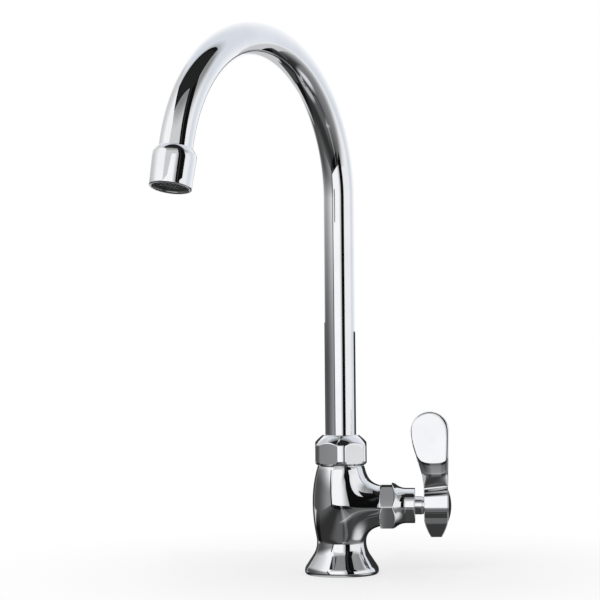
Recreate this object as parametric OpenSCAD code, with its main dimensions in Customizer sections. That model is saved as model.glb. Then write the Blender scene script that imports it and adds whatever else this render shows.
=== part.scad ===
// Gooseneck bar faucet: a cast body with a quarter-turn side valve and lever,
// and a swivelling gooseneck spout with an aerator.
// Millimetres, +Z up. The origin is the centre of the foot's underside, and
// +X runs along the valve stem towards the lever.

/* [Body casting] */
// Widest diameter of the foot
foot_d = 47.8; // [46:0.2:54]
// Radius of the foot's rolled edge
lip_r = 2.4; // [2.3:0.1:3]
// Height of the middle of the rolled edge
lip_z = 2.2; // [1.9:0.1:2.3]
// Diameter of the waist above the foot
neck_d = 31.8; // [31:0.2:34]
// Height of the waist
neck_z = 20.5; // [19:0.5:24]
// Radius of the hollow curve at the waist
neck_curve = 10.5; // [8:0.5:12]
// Widest diameter of the belly
belly_d = 37.1; // [36:0.1:42]
// Height of the widest point of the belly
belly_z = 46; // [42:0.5:50]
// Step from the threaded nose out to the body's top rim
rim_step = 1.7; // [1.5:0.1:2.4]
// Height of the body's top rim
collar_z = 69.6; // [68:0.2:76]
// Wall of the threaded nose round the spout's socket
nose_wall = 2.2; // [2:0.1:2.8]
// Length of the threaded nose
nose_len = 11.4; // [10:0.2:13]
// Chamfer at the nose's end
nose_chamfer = 0.6; // [0.3:0.1:1]
// Depth of the socket that holds the spout's ferrule
socket_depth = 24; // [22:0.5:26]

/* [Valve boss] */
// Height of the valve axis above the deck
valve_z = 43.5; // [42:0.5:46]
// Distance from the column axis to the boss's end
boss_x = 25.2; // [24.6:0.1:30]
// Wall of the boss round the bonnet's thread
boss_wall = 2.1; // [1.8:0.1:3.6]
// Radius of the blend from the boss up and down the body
boss_blend = 11.5; // [9:0.5:13]
// Depth under the belly's skin of the circle that the boss's flanks touch
flank_in = 0.2; // [0.1:0.05:0.6]
// Distance from the column axis to the valve seat
seat_x = 4; // [3:0.1:5]
// Gap all round the disc cage in the valve chamber
cage_gap = 0.4; // [0.3:0.05:0.8]

/* [Waterways] */
// Bore of the threaded inlet in the foot
inlet_d = 18.6; // [18:0.1:19.4]
// Depth of the inlet thread
inlet_depth = 15; // [12:0.5:16]
// Bore of the riser from the inlet to the seat
riser_d = 10; // [8:0.2:10.4]
// Offset of the riser from the column axis, away from the lever
riser_off = 6; // [5:0.2:7]
// Bore of the valve seat
seat_d = 9; // [7:0.2:9.4]
// Bore of each of the two ports from the chamber to the socket
port_d = 6.4; // [5:0.2:6.6]
// Spacing of the two ports
port_gap = 7; // [6.8:0.2:8]
// Distance from the seat's face to the ports
port_wall = 0.4; // [0:0.1:1]

/* [Base gasket] */
// Outer diameter of the gasket
gasket_d = 40; // [38:0.2:41]
// Width of the gasket
gasket_w = 3.4; // [2:0.2:4]
// Thickness of the gasket
gasket_t = 1.8; // [1:0.1:2.4]

/* [Spout nut] */
// Wall of the nut round the threaded nose, at its flats
nut_wall = 3.4; // [3:0.1:4.6]
// Reach of the nut's turned corners past its flats
nut_corner = 1.3; // [1.3:0.1:2.4]
// Radius of the nut's domed shoulder
dome_r = 7.4; // [6.6:0.1:7.6]
// Chamfer under the nut's corners
nut_chamfer = 1.6; // [0.8:0.1:2]
// Turn of the nut about the column
nut_turn = 33; // [0:1:60]
// Thickness of the nut's top round the tube
nut_top = 4.6; // [3.6:0.1:6]
// Gap left between the nut and the body's rim
nut_gap = 0.3; // [0.2:0.1:0.5]
// Gap all round the tube where it passes through the nut
tube_gap = 0.3; // [0.3:0.05:0.6]

/* [Spout tube] */
// Outside diameter of the tube
tube_d = 20; // [19.4:0.1:20.2]
// Wall of the tube
tube_wall = 1; // [0.8:0.1:1.4]
// Height at which the bend starts
bend_z = 241.2; // [150:0.2:320]
// Radius of the bend, to the tube's centreline
bend_r = 92.2; // [60:0.2:120]
// Angle of the bend
bend_a = 166; // [140:1:175]
// Straight length between the bend and the aerator
end_len = 3.2; // [1:0.1:10]
// Direction that the spout faces at rest, from the lever's side
spout_az = -117.4; // [-180:0.1:180]

/* [Spout ferrule] */
// Thickness of the ferrule's flange
flange_t = 2.4; // [1.8:0.1:3]
// Wall of the ferrule round the tube
ferrule_wall = 0.9; // [0.8:0.05:1.2]
// Width of the ledge under the tube in the ferrule
ferrule_ledge = 1.8; // [1.4:0.1:2.4]
// Depth of the ferrule's socket for the tube
ferrule_grip = 12; // [8:0.5:13]
// Thickness of the slip ring under the nut
slip_t = 1.2; // [0.8:0.1:1.6]
// Depth of the ferrule's seal grooves
ferrule_groove = 1.5; // [1.2:0.05:1.6]
// Width of the ferrule's seal grooves
groove_w = 2.2; // [1.8:0.1:2.4]
// Spacing of the ferrule's seals
seal_pitch = 4.6; // [3.6:0.2:4.8]
// Height of the lower seal above the ferrule's foot
seal_foot = 3.2; // [2.4:0.1:3.6]
// Gap under the ferrule's foot
foot_gap = 0.5; // [0.3:0.1:1]

/* [Aerator] */
// Wall of the shell round its thread
shell_wall = 1.5; // [1.2:0.1:2.4]
// Amount by which the shell narrows from its shoulder to the outlet
shell_taper = 1.2; // [0:0.1:1.4]
// Width of the flat ring round the tube at the shell's top
shell_rim = 0.9; // [0.5:0.1:1.2]
// Gap all round the tube at the shell's mouth
shell_gap = 0.25; // [0.25:0.05:0.4]
// Height of the shell's conical shoulder
shoulder_h = 3.8; // [3:0.1:5]
// Thickness of the shell's top lip round the tube
shell_lip = 2.6; // [2.2:0.1:3]
// Length of the shell below its shoulder
shell_len = 19.4; // [18:0.1:24]
// Wall of the threaded adapter round the tube
adapter_wall = 1.5; // [1.3:0.1:1.8]
// Length of the threaded adapter
adapter_len = 8; // [6.4:0.2:9]
// Length of tube inside the adapter
adapter_grip = 5; // [3:0.2:6]
// Thickness of the aerator's washer
washer_t = 2; // [1.2:0.1:2.6]
// Width of the aerator's washer
washer_w = 3.2; // [2:0.1:4]
// Step from the shell's thread in to the insert
insert_step = 0.8; // [0.7:0.1:1.2]
// Wall of the insert
insert_wall = 1.2; // [1:0.1:1.6]
// Thickness of the lip that holds the insert
lip_t = 1; // [0.8:0.1:1.4]
// Reach of that lip under the insert
lip_w = 0.7; // [0.5:0.1:1]
// Depth of the screen inside the insert
screen_drop = 0.8; // [0.4:0.1:1]
// Thickness of the screen
screen_t = 1; // [0.8:0.1:1.2]
// Rows of holes in the screen
screen_rows = 3; // [1:1:3]
// Diameter of the screen's holes
hole_d = 1.6; // [1:0.1:1.7]
// Rim of the screen outside its holes
screen_rim = 0.9; // [0.6:0.1:1.2]
// Distance of the grille above the insert's end
grille_set = 0.8; // [0.4:0.1:1.4]
// Thickness of the grille at the outlet
grille_t = 2; // [1.5:0.1:3]
// Width of the grille's bars
bar_w = 0.9; // [0.7:0.1:1.2]
// Number of the grille's bars each way
bar_n = 5; // [3:2:5]

/* [Bonnet] */
// Step from the boss out to the flats of the bonnet's hexagon
hex_step = 1; // [0.7:0.1:2]
// Length of the hexagon at its corners
hex_len = 7.8; // [6:0.1:10]
// Chamfer at the hexagon's face
hex_chamfer = 0.8; // [0.4:0.1:1.2]
// Step from the valve chamber out to the bonnet's thread
thread_step = 1; // [0.6:0.1:1.2]
// Length of the bonnet's thread
bonnet_grip = 9; // [7:0.2:10]
// Length of the hollow neck beyond the hexagon
bell_len = 9; // [7:0.2:12]
// Length of the bonnet's sleeve
sleeve_len = 5.5; // [5:0.1:9]
// Diameter of the bonnet's sleeve
sleeve_d = 22.6; // [21:0.1:24]
// Room all round the stem for the clip in the sleeve's end
clip_room = 1.85; // [1.5:0.05:2.3]
// Depth of that counterbore
clip_depth = 1.7; // [1.5:0.1:2.5]
// Width of the groove for the seal under the hexagon
bonnet_seal_w = 1.8; // [1.4:0.1:2.2]
// Depth of that groove
bonnet_seal_t = 1.2; // [1:0.1:1.4]

/* [Valve stem] */
// Diameter of the stem
stem_d = 11.5; // [11:0.1:12]
// Length of stem showing between the bonnet and the lever
stem_show = 5.7; // [4:0.1:9]
// Thickness of the driving flange
drive_t = 3.2; // [2.4:0.1:3.6]
// Width of the tang on the driving flange
tang_w = 4.4; // [3.6:0.1:5]
// Length of the tang
tang_len = 15; // [12:0.5:16]
// Height of the tang
tang_t = 1.6; // [1:0.1:1.8]
// Depth of the stem's seal grooves
stem_groove = 1.35; // [1:0.05:1.5]
// Width of the stem's seal grooves
stem_groove_w = 1.9; // [1.5:0.1:2]
// Distance from the sleeve's end to the outer seal
stem_seal_x = 5; // [4:0.1:6]
// Spacing of the stem's seals
stem_seal_pitch = 4.5; // [3.5:0.1:6]
// Thickness of the stem's clip
clip_t = 0.8; // [0.6:0.1:1]
// Depth of the stem's clip groove
clip_groove = 0.85; // [0.6:0.05:1]
// Step from the stem in to the corners of its twelve-sided broach
broach_step = 1.35; // [1:0.05:1.8]
// Length of the broach
broach_len = 8; // [6:0.1:9]
// Length of round stem inside the lever
skirt = 2.4; // [1.5:0.1:3]
// Thickness of the thrust washer
thrust_t = 1; // [0.6:0.1:1.4]

/* [Ceramic cartridge] */
// Diameter of the disc cage
cage_d = 19.6; // [19.4:0.1:20]
// Wall of the disc cage
cage_wall = 0.9; // [0.8:0.05:1]
// Thickness of the cage's floor
cage_floor = 1.2; // [1:0.1:1.6]
// Thickness of the fixed disc
fixed_t = 3; // [2.4:0.1:3.4]
// Thickness of the moving disc
moving_t = 2.8; // [2.4:0.1:3.2]
// Bore of the cage's floor and of the seat seal
eye_d = 10.4; // [9.8:0.1:12]
// Outside diameter of the seat seal
seal_d = 17; // [15:0.2:18]
// Thickness of the seat seal
seal_t = 1; // [0.8:0.1:1.4]
// Height of the cage's side windows
window_h = 3.4; // [2.4:0.1:3.6]
// Inner radius of the discs' ports
disc_port_r = 2; // [1.4:0.1:2.6]
// Rim of the discs outside their ports
disc_rim = 1.8; // [1.2:0.1:2.4]

/* [Lever] */
// Length of the lever's hub
hub_len = 15.6; // [14.6:0.1:18]
// Diameter of the lever's hub
hub_d = 21; // [19:0.1:23]
// Height of the paddle's round end above the valve axis
paddle_z = 48.5; // [46:0.5:70]
// Radius of the paddle's round end
paddle_r = 12.15; // [10:0.05:14]
// Height above the valve axis at which the paddle leaves the hub's width
paddle_start = 11; // [8:0.5:14]
// Offset of the paddle from the middle of the hub, towards the column
paddle_off = 3.6; // [2:0.1:5]
// Thickness of the paddle
paddle_t = 3.4; // [2.6:0.1:5]
// Thickness of the lever's root
root_t = 5.6; // [5:0.1:7]
// Height of the lever's full-width root above the valve axis
root_z = 12; // [10:0.5:14]
// How fast the lever thins out from its root, where 1 ends at the paddle's top
root_fade = 1.6; // [1:0.1:2.4]
// Reach of the bent lever in front of the valve axis
bend_reach = 9.8; // [8:0.1:14]
// Height of the lever's bend above the valve axis
knee_z = 25; // [22:0.5:30]
// Distance that the paddle's end leans back from the bend
lean = 2.4; // [0:0.1:5]
// Reach of the tail below the valve axis
tail_z = 20; // [16:0.2:24]
// Width of the tail's end
tail_w = 7; // [5:0.1:9]
// Thickness of the tail's end
tail_t = 6; // [4:0.1:8]
// Distance below the valve axis at which the tail starts to narrow
tail_start = 8; // [6:0.5:10]
// How late the tail narrows, where 1 is a straight taper
tail_curve = 1.6; // [1:0.1:2.4]
// Angle below level at which the tail leaves the hub
tail_angle = 24; // [15:1:35]
// Diameter of the recess for the lever's screw
recess_d = 10.6; // [10:0.1:11.4]
// Depth of that recess
recess_depth = 3; // [2.8:0.1:3.4]
// Gap between the stem's end and the hub's web
web_gap = 0.4; // [0.2:0.1:0.6]

/* [Lever screw and cap] */
// Diameter of the screw's thread
screw_d = 4; // [3:0.1:4.4]
// Length of the screw under its head
screw_len = 8; // [6:0.1:9]
// Diameter of the screw's head
head_d = 8.6; // [7:0.1:9]
// Thickness of the screw's head
head_t = 1.8; // [1.4:0.1:2]
// Gap all round the screw where it passes through the hub
screw_gap = 0.2; // [0.1:0.05:0.3]
// Width of the screw's slot
slot_w = 1; // [0.8:0.1:1.4]
// Height of the cap's dome
cap_dome = 2; // [1.2:0.1:3]
// Amount by which the cap is smaller than the hub
cap_inset = 0.4; // [0:0.1:1]
// Depth of the cap's plug
plug_t = 1; // [0.6:0.1:1.1]

/* [Fits] */
// Clearance all round a fit between pieces that turn
run_fit = 0.06; // [0.03:0.01:0.09]
// Clearance all round a fit between pieces that stay put
tight_fit = 0.04; // [0.02:0.01:0.08]
// Gap between flat faces that slide on each other
face_gap = 0.1; // [0.05:0.01:0.2]

/* [Hidden] */
$fn = 96;

// Small extra length of a cutting tool past the face that it opens
over = 0.5;
// Steps in each arc of a turned outline
arc_n = 10;

chrome = "gainsboro";
brass = "goldenrod";
rubber = "dimgray";
plastic = "whitesmoke";
ceramic = "linen";
steel = "silver";

// Diameters that follow the tube
tube_id = tube_d - 2 * tube_wall;
tube_hole = tube_d + 2 * tube_gap;
ferrule_d = tube_d + 2 * (tight_fit + ferrule_wall);
ferrule_bore = tube_d - 2 * ferrule_ledge;
socket_d = ferrule_d + 2 * run_fit;
nose_d = socket_d + 2 * nose_wall;
flange_d = nose_d - 1;
collar_d = nose_d + 2 * rim_step;
nut_af = nose_d + 2 * nut_wall;
nut_turned = nut_af + 2 * nut_corner;
aerator_thread = tube_d + 2 * adapter_wall;
shell_d = aerator_thread + 2 * shell_wall;
shell_end_d = shell_d - shell_taper;
insert_d = aerator_thread - 2 * insert_step;
insert_id = insert_d - 2 * insert_wall;

// Diameters that follow the disc cage
cage_bore = cage_d - 2 * cage_wall;
disc_d = cage_bore - 2 * tight_fit;
drive_d = cage_bore - 2 * run_fit;
chamber_d = cage_d + 2 * cage_gap;
bonnet_thread = chamber_d + 2 * thread_step;
boss_d = bonnet_thread + 2 * boss_wall;
hex_af = boss_d + 2 * hex_step;
hex_corner_r = hex_af / 2 / cos(30);

// Diameters that follow the stem
clip_d = stem_d + 2 * clip_room;
broach_d = stem_d - 2 * broach_step;

// Heights on the column
nose_top = collar_z + nose_len;
socket_z = nose_top - socket_depth;
flange_z = nose_top + face_gap;
slip_z = flange_z + flange_t + face_gap;
ledge_z = slip_z + slip_t;
nut_z = collar_z + nut_gap;
nut_end = ledge_z + nut_top;
ferrule_z = socket_z + foot_gap;
tube_z = flange_z + flange_t - ferrule_grip;
seal_low_z = ferrule_z + seal_foot;
seal_high_z = seal_low_z + seal_pitch;

// Places along the outlet's axis, measured from the end of the bend
shell_top = end_len;
shell_end = shell_top + shoulder_h + shell_len;
adapter_s = shell_top + shell_lip + face_gap;
adapter_end = adapter_s + adapter_len;
tube_end = adapter_s + adapter_grip;
washer_s = adapter_end + face_gap;
insert_s = washer_s + washer_t;
insert_end = shell_end - lip_t;
screen_s = insert_s + screen_drop;
grille_s = insert_end - grille_set - grille_t;

// Places along the valve axis
cage_x = seat_x + seal_t;
disc_x = cage_x + cage_floor;
moving_x = disc_x + fixed_t + face_gap;
drive_x = moving_x + moving_t + face_gap;
thrust_x = drive_x + drive_t + face_gap;
cage_end = boss_x - bonnet_grip;
thrust_end = thrust_x + thrust_t;
hex_end = boss_x + hex_len;
sleeve_x = hex_end + bell_len;
bonnet_end = sleeve_x + sleeve_len;
hub_x = bonnet_end + stem_show;
hub_end = hub_x + hub_len;
broach_x = hub_x + skirt;
stem_end = broach_x + broach_len;
recess_x = hub_end - recess_depth;
clip_x = bonnet_end - clip_depth + face_gap;
seal_outer_x = bonnet_end - stem_seal_x;
seal_inner_x = seal_outer_x - stem_seal_pitch;

// Points of an arc about [x, y], from angle a0 to angle a1
function arc(x, y, r, a0, a1, n = arc_n) =
    [for (i = [0:n]) let (a = a0 + (a1 - a0) * i / n)
        [x + r * cos(a), y + r * sin(a)]];
// Smooth step from 0 to 1
function ease(t) = let (u = max(0, min(1, t))) u * u * (3 - 2 * u);

// Puts a shape drawn along +Z onto the valve axis, at distance x
module on_valve(x = 0) {
    translate([x, 0, valve_z]) rotate([0, 90, 0]) children();
}

// Turns the spout to its rest direction
module on_spout() {
    rotate([0, 0, spout_az]) children();
}

// Puts a shape drawn along +Z onto the outlet's axis, at distance s
module on_outlet(s = 0) {
    on_spout()
        translate([bend_r * (1 - cos(bend_a)), 0, bend_z + bend_r * sin(bend_a)])
        rotate([0, bend_a, 0])
        translate([0, 0, s])
        children();
}

// Upright ring from z = 0
module ring(d, bore, h) {
    difference() {
        cylinder(d = d, h = h);
        translate([0, 0, -over]) cylinder(d = bore, h = h + 2 * over);
    }
}

// Round seal of the given bore and outside diameter, about z = 0
module seal(bore, d) {
    rotate_extrude() translate([(bore + d) / 4, 0]) circle(d = (d - bore) / 2, $fn = 32);
}

// Half outline of the body's outside, from the foot's underside to the nose
function body_outline() =
    let (lip_x = foot_d / 2 - lip_r,
        neck_x = neck_d / 2 + neck_curve,
        dx = neck_x - lip_x,
        dz = neck_z - lip_z,
        flare = asin((lip_r + neck_curve) / norm([dx, dz])) - atan2(dx, dz),
        a = neck_x - belly_d / 2,
        h = belly_z - neck_z,
        low_r = (a * a + h * h - neck_curve * neck_curve) / (2 * (neck_curve - a)),
        low_x = belly_d / 2 - low_r,
        low_a = atan2(-h, neck_x - low_x),
        d = (belly_d - collar_d) / 2,
        top_h = collar_z - belly_z,
        top_r = (d * d + top_h * top_h) / (2 * d))
    concat([[0, 0]],
        arc(lip_x, lip_z, lip_r, -asin(lip_z / lip_r), flare),
        arc(neck_x, neck_z, neck_curve, 180 + flare, 180 + low_a),
        arc(low_x, belly_z, low_r, low_a, 0),
        arc(belly_d / 2 - top_r, belly_z, top_r, 0, asin(top_h / top_r)),
        [[nose_d / 2, collar_z], [nose_d / 2, nose_top - nose_chamfer],
            [nose_d / 2 - nose_chamfer, nose_top], [0, nose_top]]);

// Conical boss, with fillets up and down the body
module boss() {
    turn = 70;
    boss_r = boss_d / 2;
    blend_x = boss_x - boss_blend * sin(turn);
    blend_y = sqrt(pow(belly_d / 2, 2) - pow(blend_x, 2));
    trumpet = concat([[0, boss_x], [boss_r, boss_x]],
        arc(boss_r + boss_blend, boss_x, boss_blend, 180, 180 + turn),
        [[0, blend_x]]);
    flank_r = belly_d / 2 - flank_in;
    flank_a = atan2(boss_r, boss_x) + acos(flank_r / norm([boss_x, boss_r]));
    flank_x = flank_r * cos(flank_a);
    intersection() {
        on_valve() rotate_extrude() polygon(trumpet);
        linear_extrude(2 * valve_z) polygon([[0, -blend_y], [blend_x, -blend_y],
            [boss_x, -boss_r], [boss_x, boss_r], [blend_x, blend_y], [0, blend_y]]);
    }
    on_valve(flank_x)
        cylinder(r1 = flank_r * sin(flank_a), r2 = boss_r, h = boss_x - flank_x);
}

module body() {
    color(chrome) difference() {
        union() {
            rotate_extrude() polygon(body_outline());
            boss();
        }
        translate([0, 0, -over]) cylinder(d = inlet_d, h = inlet_depth + over);
        translate([-riser_off, 0, inlet_depth - over])
            cylinder(d = riser_d, h = valve_z + seat_d / 2 - inlet_depth + over);
        on_valve(-riser_off) cylinder(d = seat_d, h = riser_off + seat_x + over);
        on_valve(seat_x) cylinder(d = chamber_d, h = boss_x);
        on_valve(boss_x - bonnet_grip)
            cylinder(d = bonnet_thread + 2 * tight_fit, h = bonnet_grip + over);
        for (side = [-1, 1])
            translate([seat_x + port_wall + port_d / 2, side * port_gap / 2, valve_z])
                cylinder(d = port_d, h = socket_z - valve_z + over);
        translate([0, 0, socket_z]) cylinder(d = socket_d, h = socket_depth + over);
        translate([0, 0, -over])
            ring(gasket_d + 2 * tight_fit, gasket_d - 2 * gasket_w - 2 * tight_fit,
                gasket_t + over);
    }
}

module base_gasket() {
    color(rubber) ring(gasket_d, gasket_d - 2 * gasket_w, gasket_t);
}

// Domed hexagon nut that clamps the spout's flange onto the body
module spout_nut() {
    turned_r = nut_turned / 2;
    dome_z = nut_end - dome_r;
    outline = concat([[0, nut_z], [turned_r - nut_chamfer, nut_z],
            [turned_r, nut_z + nut_chamfer]],
        arc(turned_r - dome_r, dome_z, dome_r, 0, 90),
        [[0, nut_end]]);
    color(chrome) difference() {
        intersection() {
            rotate_extrude() polygon(outline);
            rotate([0, 0, nut_turn]) translate([0, 0, nut_z])
                cylinder(d = nut_af / cos(30), h = nut_end - nut_z, $fn = 6);
        }
        translate([0, 0, nut_z - over])
            cylinder(d = nose_d + 2 * tight_fit, h = ledge_z - nut_z + over);
        cylinder(d = tube_hole, h = nut_end + over);
    }
}

module slip_ring() {
    color(plastic) translate([0, 0, slip_z])
        ring(flange_d, tube_d + 2 * run_fit, slip_t);
}

// Brass sleeve on the foot of the tube, with a flange and two seal grooves
module spout_ferrule() {
    color(brass) difference() {
        union() {
            translate([0, 0, ferrule_z])
                cylinder(d = ferrule_d, h = flange_z - ferrule_z + over);
            translate([0, 0, flange_z]) cylinder(d = flange_d, h = flange_t);
        }
        translate([0, 0, ferrule_z - over])
            cylinder(d = ferrule_bore, h = flange_z - ferrule_z + flange_t);
        translate([0, 0, tube_z])
            cylinder(d = tube_d + 2 * tight_fit, h = ferrule_grip + over);
        for (z = [seal_low_z, seal_high_z])
            translate([0, 0, z - groove_w / 2])
                ring(ferrule_d + 2 * over, ferrule_d - 2 * ferrule_groove, groove_w);
    }
}

module ferrule_seal_at(z) {
    color(rubber) translate([0, 0, z])
        seal(ferrule_d - 2 * ferrule_groove + 2 * tight_fit, socket_d - 2 * run_fit);
}

module ferrule_seal_upper() {
    ferrule_seal_at(seal_high_z);
}

module ferrule_seal_lower() {
    ferrule_seal_at(seal_low_z);
}

// Gooseneck of one diameter: a riser, a bend and a short straight end.
// Bending draws the tube a hair thinner, and the straights lap onto the bend.
module gooseneck(d, foot, tip) {
    draw = 0.1;
    lap = 0.3;
    translate([0, 0, foot]) cylinder(d = d, h = bend_z - foot + lap);
    translate([bend_r, 0, bend_z]) rotate([90, 0, 0]) rotate([0, 0, 180 - bend_a])
        rotate_extrude(angle = bend_a) translate([bend_r, 0]) circle(d = d - draw);
    translate([bend_r * (1 - cos(bend_a)), 0, bend_z + bend_r * sin(bend_a)])
        rotate([0, bend_a, 0]) translate([0, 0, -lap]) cylinder(d = d, h = tip + lap);
}

module spout_tube() {
    color(chrome) on_spout() difference() {
        gooseneck(tube_d, tube_z, tube_end);
        gooseneck(tube_id, tube_z - over, tube_end + over);
    }
}

// Threaded ring on the tube's end
module outlet_adapter() {
    color(brass) on_outlet(adapter_s) difference() {
        cylinder(d = aerator_thread, h = adapter_len);
        translate([0, 0, -over])
            cylinder(d = tube_d + 2 * tight_fit, h = adapter_grip + over + face_gap);
        cylinder(d = tube_id, h = adapter_len + over);
    }
}

// Chromed shell with a conical shoulder and a lip at the outlet
module aerator_shell() {
    edge = 0.4;
    outline = [[0, shell_top], [tube_d / 2 + shell_rim, shell_top],
        [shell_d / 2 - edge, shell_top + shoulder_h - edge],
        [shell_d / 2, shell_top + shoulder_h + edge],
        [shell_end_d / 2, shell_end - edge],
        [shell_end_d / 2 - edge, shell_end], [0, shell_end]];
    thread_end = insert_s;
    color(chrome) on_outlet() difference() {
        rotate_extrude() polygon(outline);
        cylinder(d = tube_d + 2 * shell_gap, h = adapter_s + over);
        translate([0, 0, adapter_s - face_gap])
            cylinder(d = aerator_thread + 2 * tight_fit, h = thread_end - adapter_s + face_gap);
        translate([0, 0, thread_end - over])
            cylinder(d = insert_d + 2 * tight_fit, h = insert_end - thread_end + over);
        cylinder(d = insert_d - 2 * lip_w, h = shell_end + over);
    }
}

module aerator_washer() {
    color(rubber) on_outlet(washer_s) ring(insert_d, insert_d - 2 * washer_w, washer_t - face_gap);
}

// Cup that carries the screen above and the grille below
module aerator_insert() {
    ledge = 0.8;
    h = insert_end - insert_s;
    color(plastic) on_outlet(insert_s) difference() {
        cylinder(d = insert_d, h = h);
        translate([0, 0, -over])
            cylinder(d = insert_id, h = screen_s + screen_t - insert_s + over);
        cylinder(d = insert_id - 2 * ledge, h = h);
        translate([0, 0, grille_s - insert_s]) cylinder(d = insert_id, h = h);
    }
}

module aerator_screen() {
    screen_d = insert_id - 2 * tight_fit;
    hole_pitch = ((screen_d - hole_d) / 2 - screen_rim) / screen_rows;
    color(steel) on_outlet(screen_s) difference() {
        cylinder(d = screen_d, h = screen_t);
        for (row = [1:screen_rows])
            for (i = [1:6 * row])
                rotate([0, 0, 60 * i / row]) translate([row * hole_pitch, 0, -over])
                    cylinder(d = hole_d, h = screen_t + 2 * over, $fn = 24);
    }
}

// Ring with crossed bars, set back from the outlet
module aerator_grille() {
    rim = 1.2;
    grille_d = insert_id - 2 * tight_fit;
    pitch = (grille_d - 2 * rim) / (bar_n + 1);
    color(rubber) on_outlet(grille_s) {
        ring(grille_d, grille_d - 2 * rim, grille_t);
        intersection() {
            cylinder(d = grille_d - rim, h = grille_t);
            for (turn = [0, 90], i = [1:bar_n])
                rotate([0, 0, turn])
                    translate([(i - (bar_n + 1) / 2) * pitch - bar_w / 2, -grille_d / 2, 0])
                        cube([bar_w, grille_d, grille_t]);
        }
    }
}

// Hexagon, hollow neck and sleeve in one piece, screwed into the boss
module bonnet() {
    thread_r = bonnet_thread / 2;
    neck_r = (pow(bell_len, 2) + pow(hex_corner_r - sleeve_d / 2, 2))
        / (2 * (hex_corner_r - sleeve_d / 2));
    neck_turn = asin(bell_len / neck_r);
    edge = 0.3;
    turned = concat([[0, boss_x - bonnet_grip], [thread_r, boss_x - bonnet_grip],
            [thread_r, boss_x], [hex_corner_r - hex_chamfer, boss_x],
            [hex_corner_r, boss_x + hex_chamfer]],
        arc(sleeve_d / 2 + neck_r, sleeve_x, neck_r, 180 + neck_turn, 180),
        [[sleeve_d / 2, bonnet_end - edge], [sleeve_d / 2 - edge, bonnet_end],
            [0, bonnet_end]]);
    color(chrome) difference() {
        intersection() {
            on_valve() rotate_extrude() polygon(turned);
            on_valve(boss_x - bonnet_grip) rotate([0, 0, 30])
                cylinder(r = hex_corner_r, h = bonnet_end, $fn = 6);
        }
        on_valve() cylinder(d = stem_d + 2 * run_fit, h = bonnet_end + over);
        on_valve(bonnet_end - clip_depth) cylinder(d = clip_d, h = clip_depth + over);
        on_valve(cage_end - over)
            cylinder(d = cage_bore, h = thrust_end - cage_end + over);
        on_valve(boss_x - bonnet_seal_w)
            ring(bonnet_thread + over, bonnet_thread - 2 * bonnet_seal_t, bonnet_seal_w);
    }
}

module bonnet_seal() {
    color(rubber) on_valve(boss_x - bonnet_seal_w / 2)
        seal(bonnet_thread - 2 * bonnet_seal_t + 2 * tight_fit, bonnet_thread);
}

// Stem from the driving tang, through the bonnet, to the broach in the lever
module valve_stem() {
    color(brass) difference() {
        union() {
            on_valve(drive_x) cylinder(d = drive_d, h = drive_t);
            on_valve(drive_x + drive_t - over)
                cylinder(d = stem_d, h = broach_x - drive_x - drive_t + over);
            on_valve(broach_x - over) cylinder(d = broach_d, h = broach_len + over, $fn = 12);
            translate([drive_x - tang_t, -tang_w / 2, valve_z - tang_len / 2])
                cube([tang_t + over, tang_w, tang_len]);
        }
        for (x = [seal_inner_x, seal_outer_x])
            on_valve(x - stem_groove_w / 2)
                ring(stem_d + 2 * over, stem_d - 2 * stem_groove, stem_groove_w);
        on_valve(clip_x - face_gap / 2)
            ring(stem_d + 2 * over, stem_d - 2 * clip_groove, clip_t + face_gap);
        on_valve(recess_x - screw_len - over)
            cylinder(d = screw_d + 2 * tight_fit, h = screw_len);
    }
}

module stem_seal_at(x) {
    color(rubber) on_valve(x)
        seal(stem_d - 2 * stem_groove + 2 * tight_fit, stem_d);
}

module stem_seal_outer() {
    stem_seal_at(seal_outer_x);
}

module stem_seal_inner() {
    stem_seal_at(seal_inner_x);
}

// Open ring that stops the stem from dropping into the bonnet
module stem_clip() {
    gap = 4;
    clip_bore = stem_d - 2 * clip_groove + 2 * tight_fit;
    color(steel) on_valve(clip_x) difference() {
        ring(clip_d - 1, clip_bore, clip_t);
        translate([0, -gap / 2, -over]) cube([clip_d, gap, clip_t + 2 * over]);
    }
}

module thrust_washer() {
    color(plastic) on_valve(thrust_x)
        ring(drive_d, stem_d + 2 * run_fit, thrust_t - face_gap);
}

// Cup that holds both discs against the seat, with a window each side
module disc_cage() {
    color(plastic) difference() {
        on_valve(cage_x) cylinder(d = cage_d, h = cage_end - cage_x);
        on_valve(disc_x) cylinder(d = cage_bore, h = cage_end);
        on_valve(cage_x - over) cylinder(d = eye_d, h = cage_floor + 2 * over);
        translate([moving_x, -cage_d, valve_z - disc_d / 4])
            cube([window_h, 2 * cage_d, disc_d / 2]);
    }
}

// Two facing quarter sectors, drawn about the disc's axis
module disc_ports(h) {
    port_reach = disc_d / 2 - disc_rim - disc_port_r;
    for (turn = [0, 180])
        rotate([0, 0, turn - 40]) rotate_extrude(angle = 80)
            translate([disc_port_r, 0]) square([port_reach, h]);
}

module fixed_disc() {
    color(ceramic) on_valve(disc_x) difference() {
        cylinder(d = disc_d, h = fixed_t);
        translate([0, 0, -over]) disc_ports(fixed_t + 2 * over);
    }
}

module moving_disc() {
    color(ceramic) difference() {
        on_valve(moving_x) cylinder(d = drive_d, h = moving_t);
        on_valve(moving_x - over) rotate([0, 0, 90])
            disc_ports(moving_t - tang_t + over);
        translate([drive_x - tang_t - face_gap, -tang_w / 2 - tight_fit,
                valve_z - disc_d / 2 - over])
            cube([tang_t + over, tang_w + 2 * tight_fit, disc_d + 2 * over]);
    }
}

module seat_seal() {
    color(rubber) on_valve(seat_x) ring(seal_d, eye_d, seal_t);
}

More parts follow.
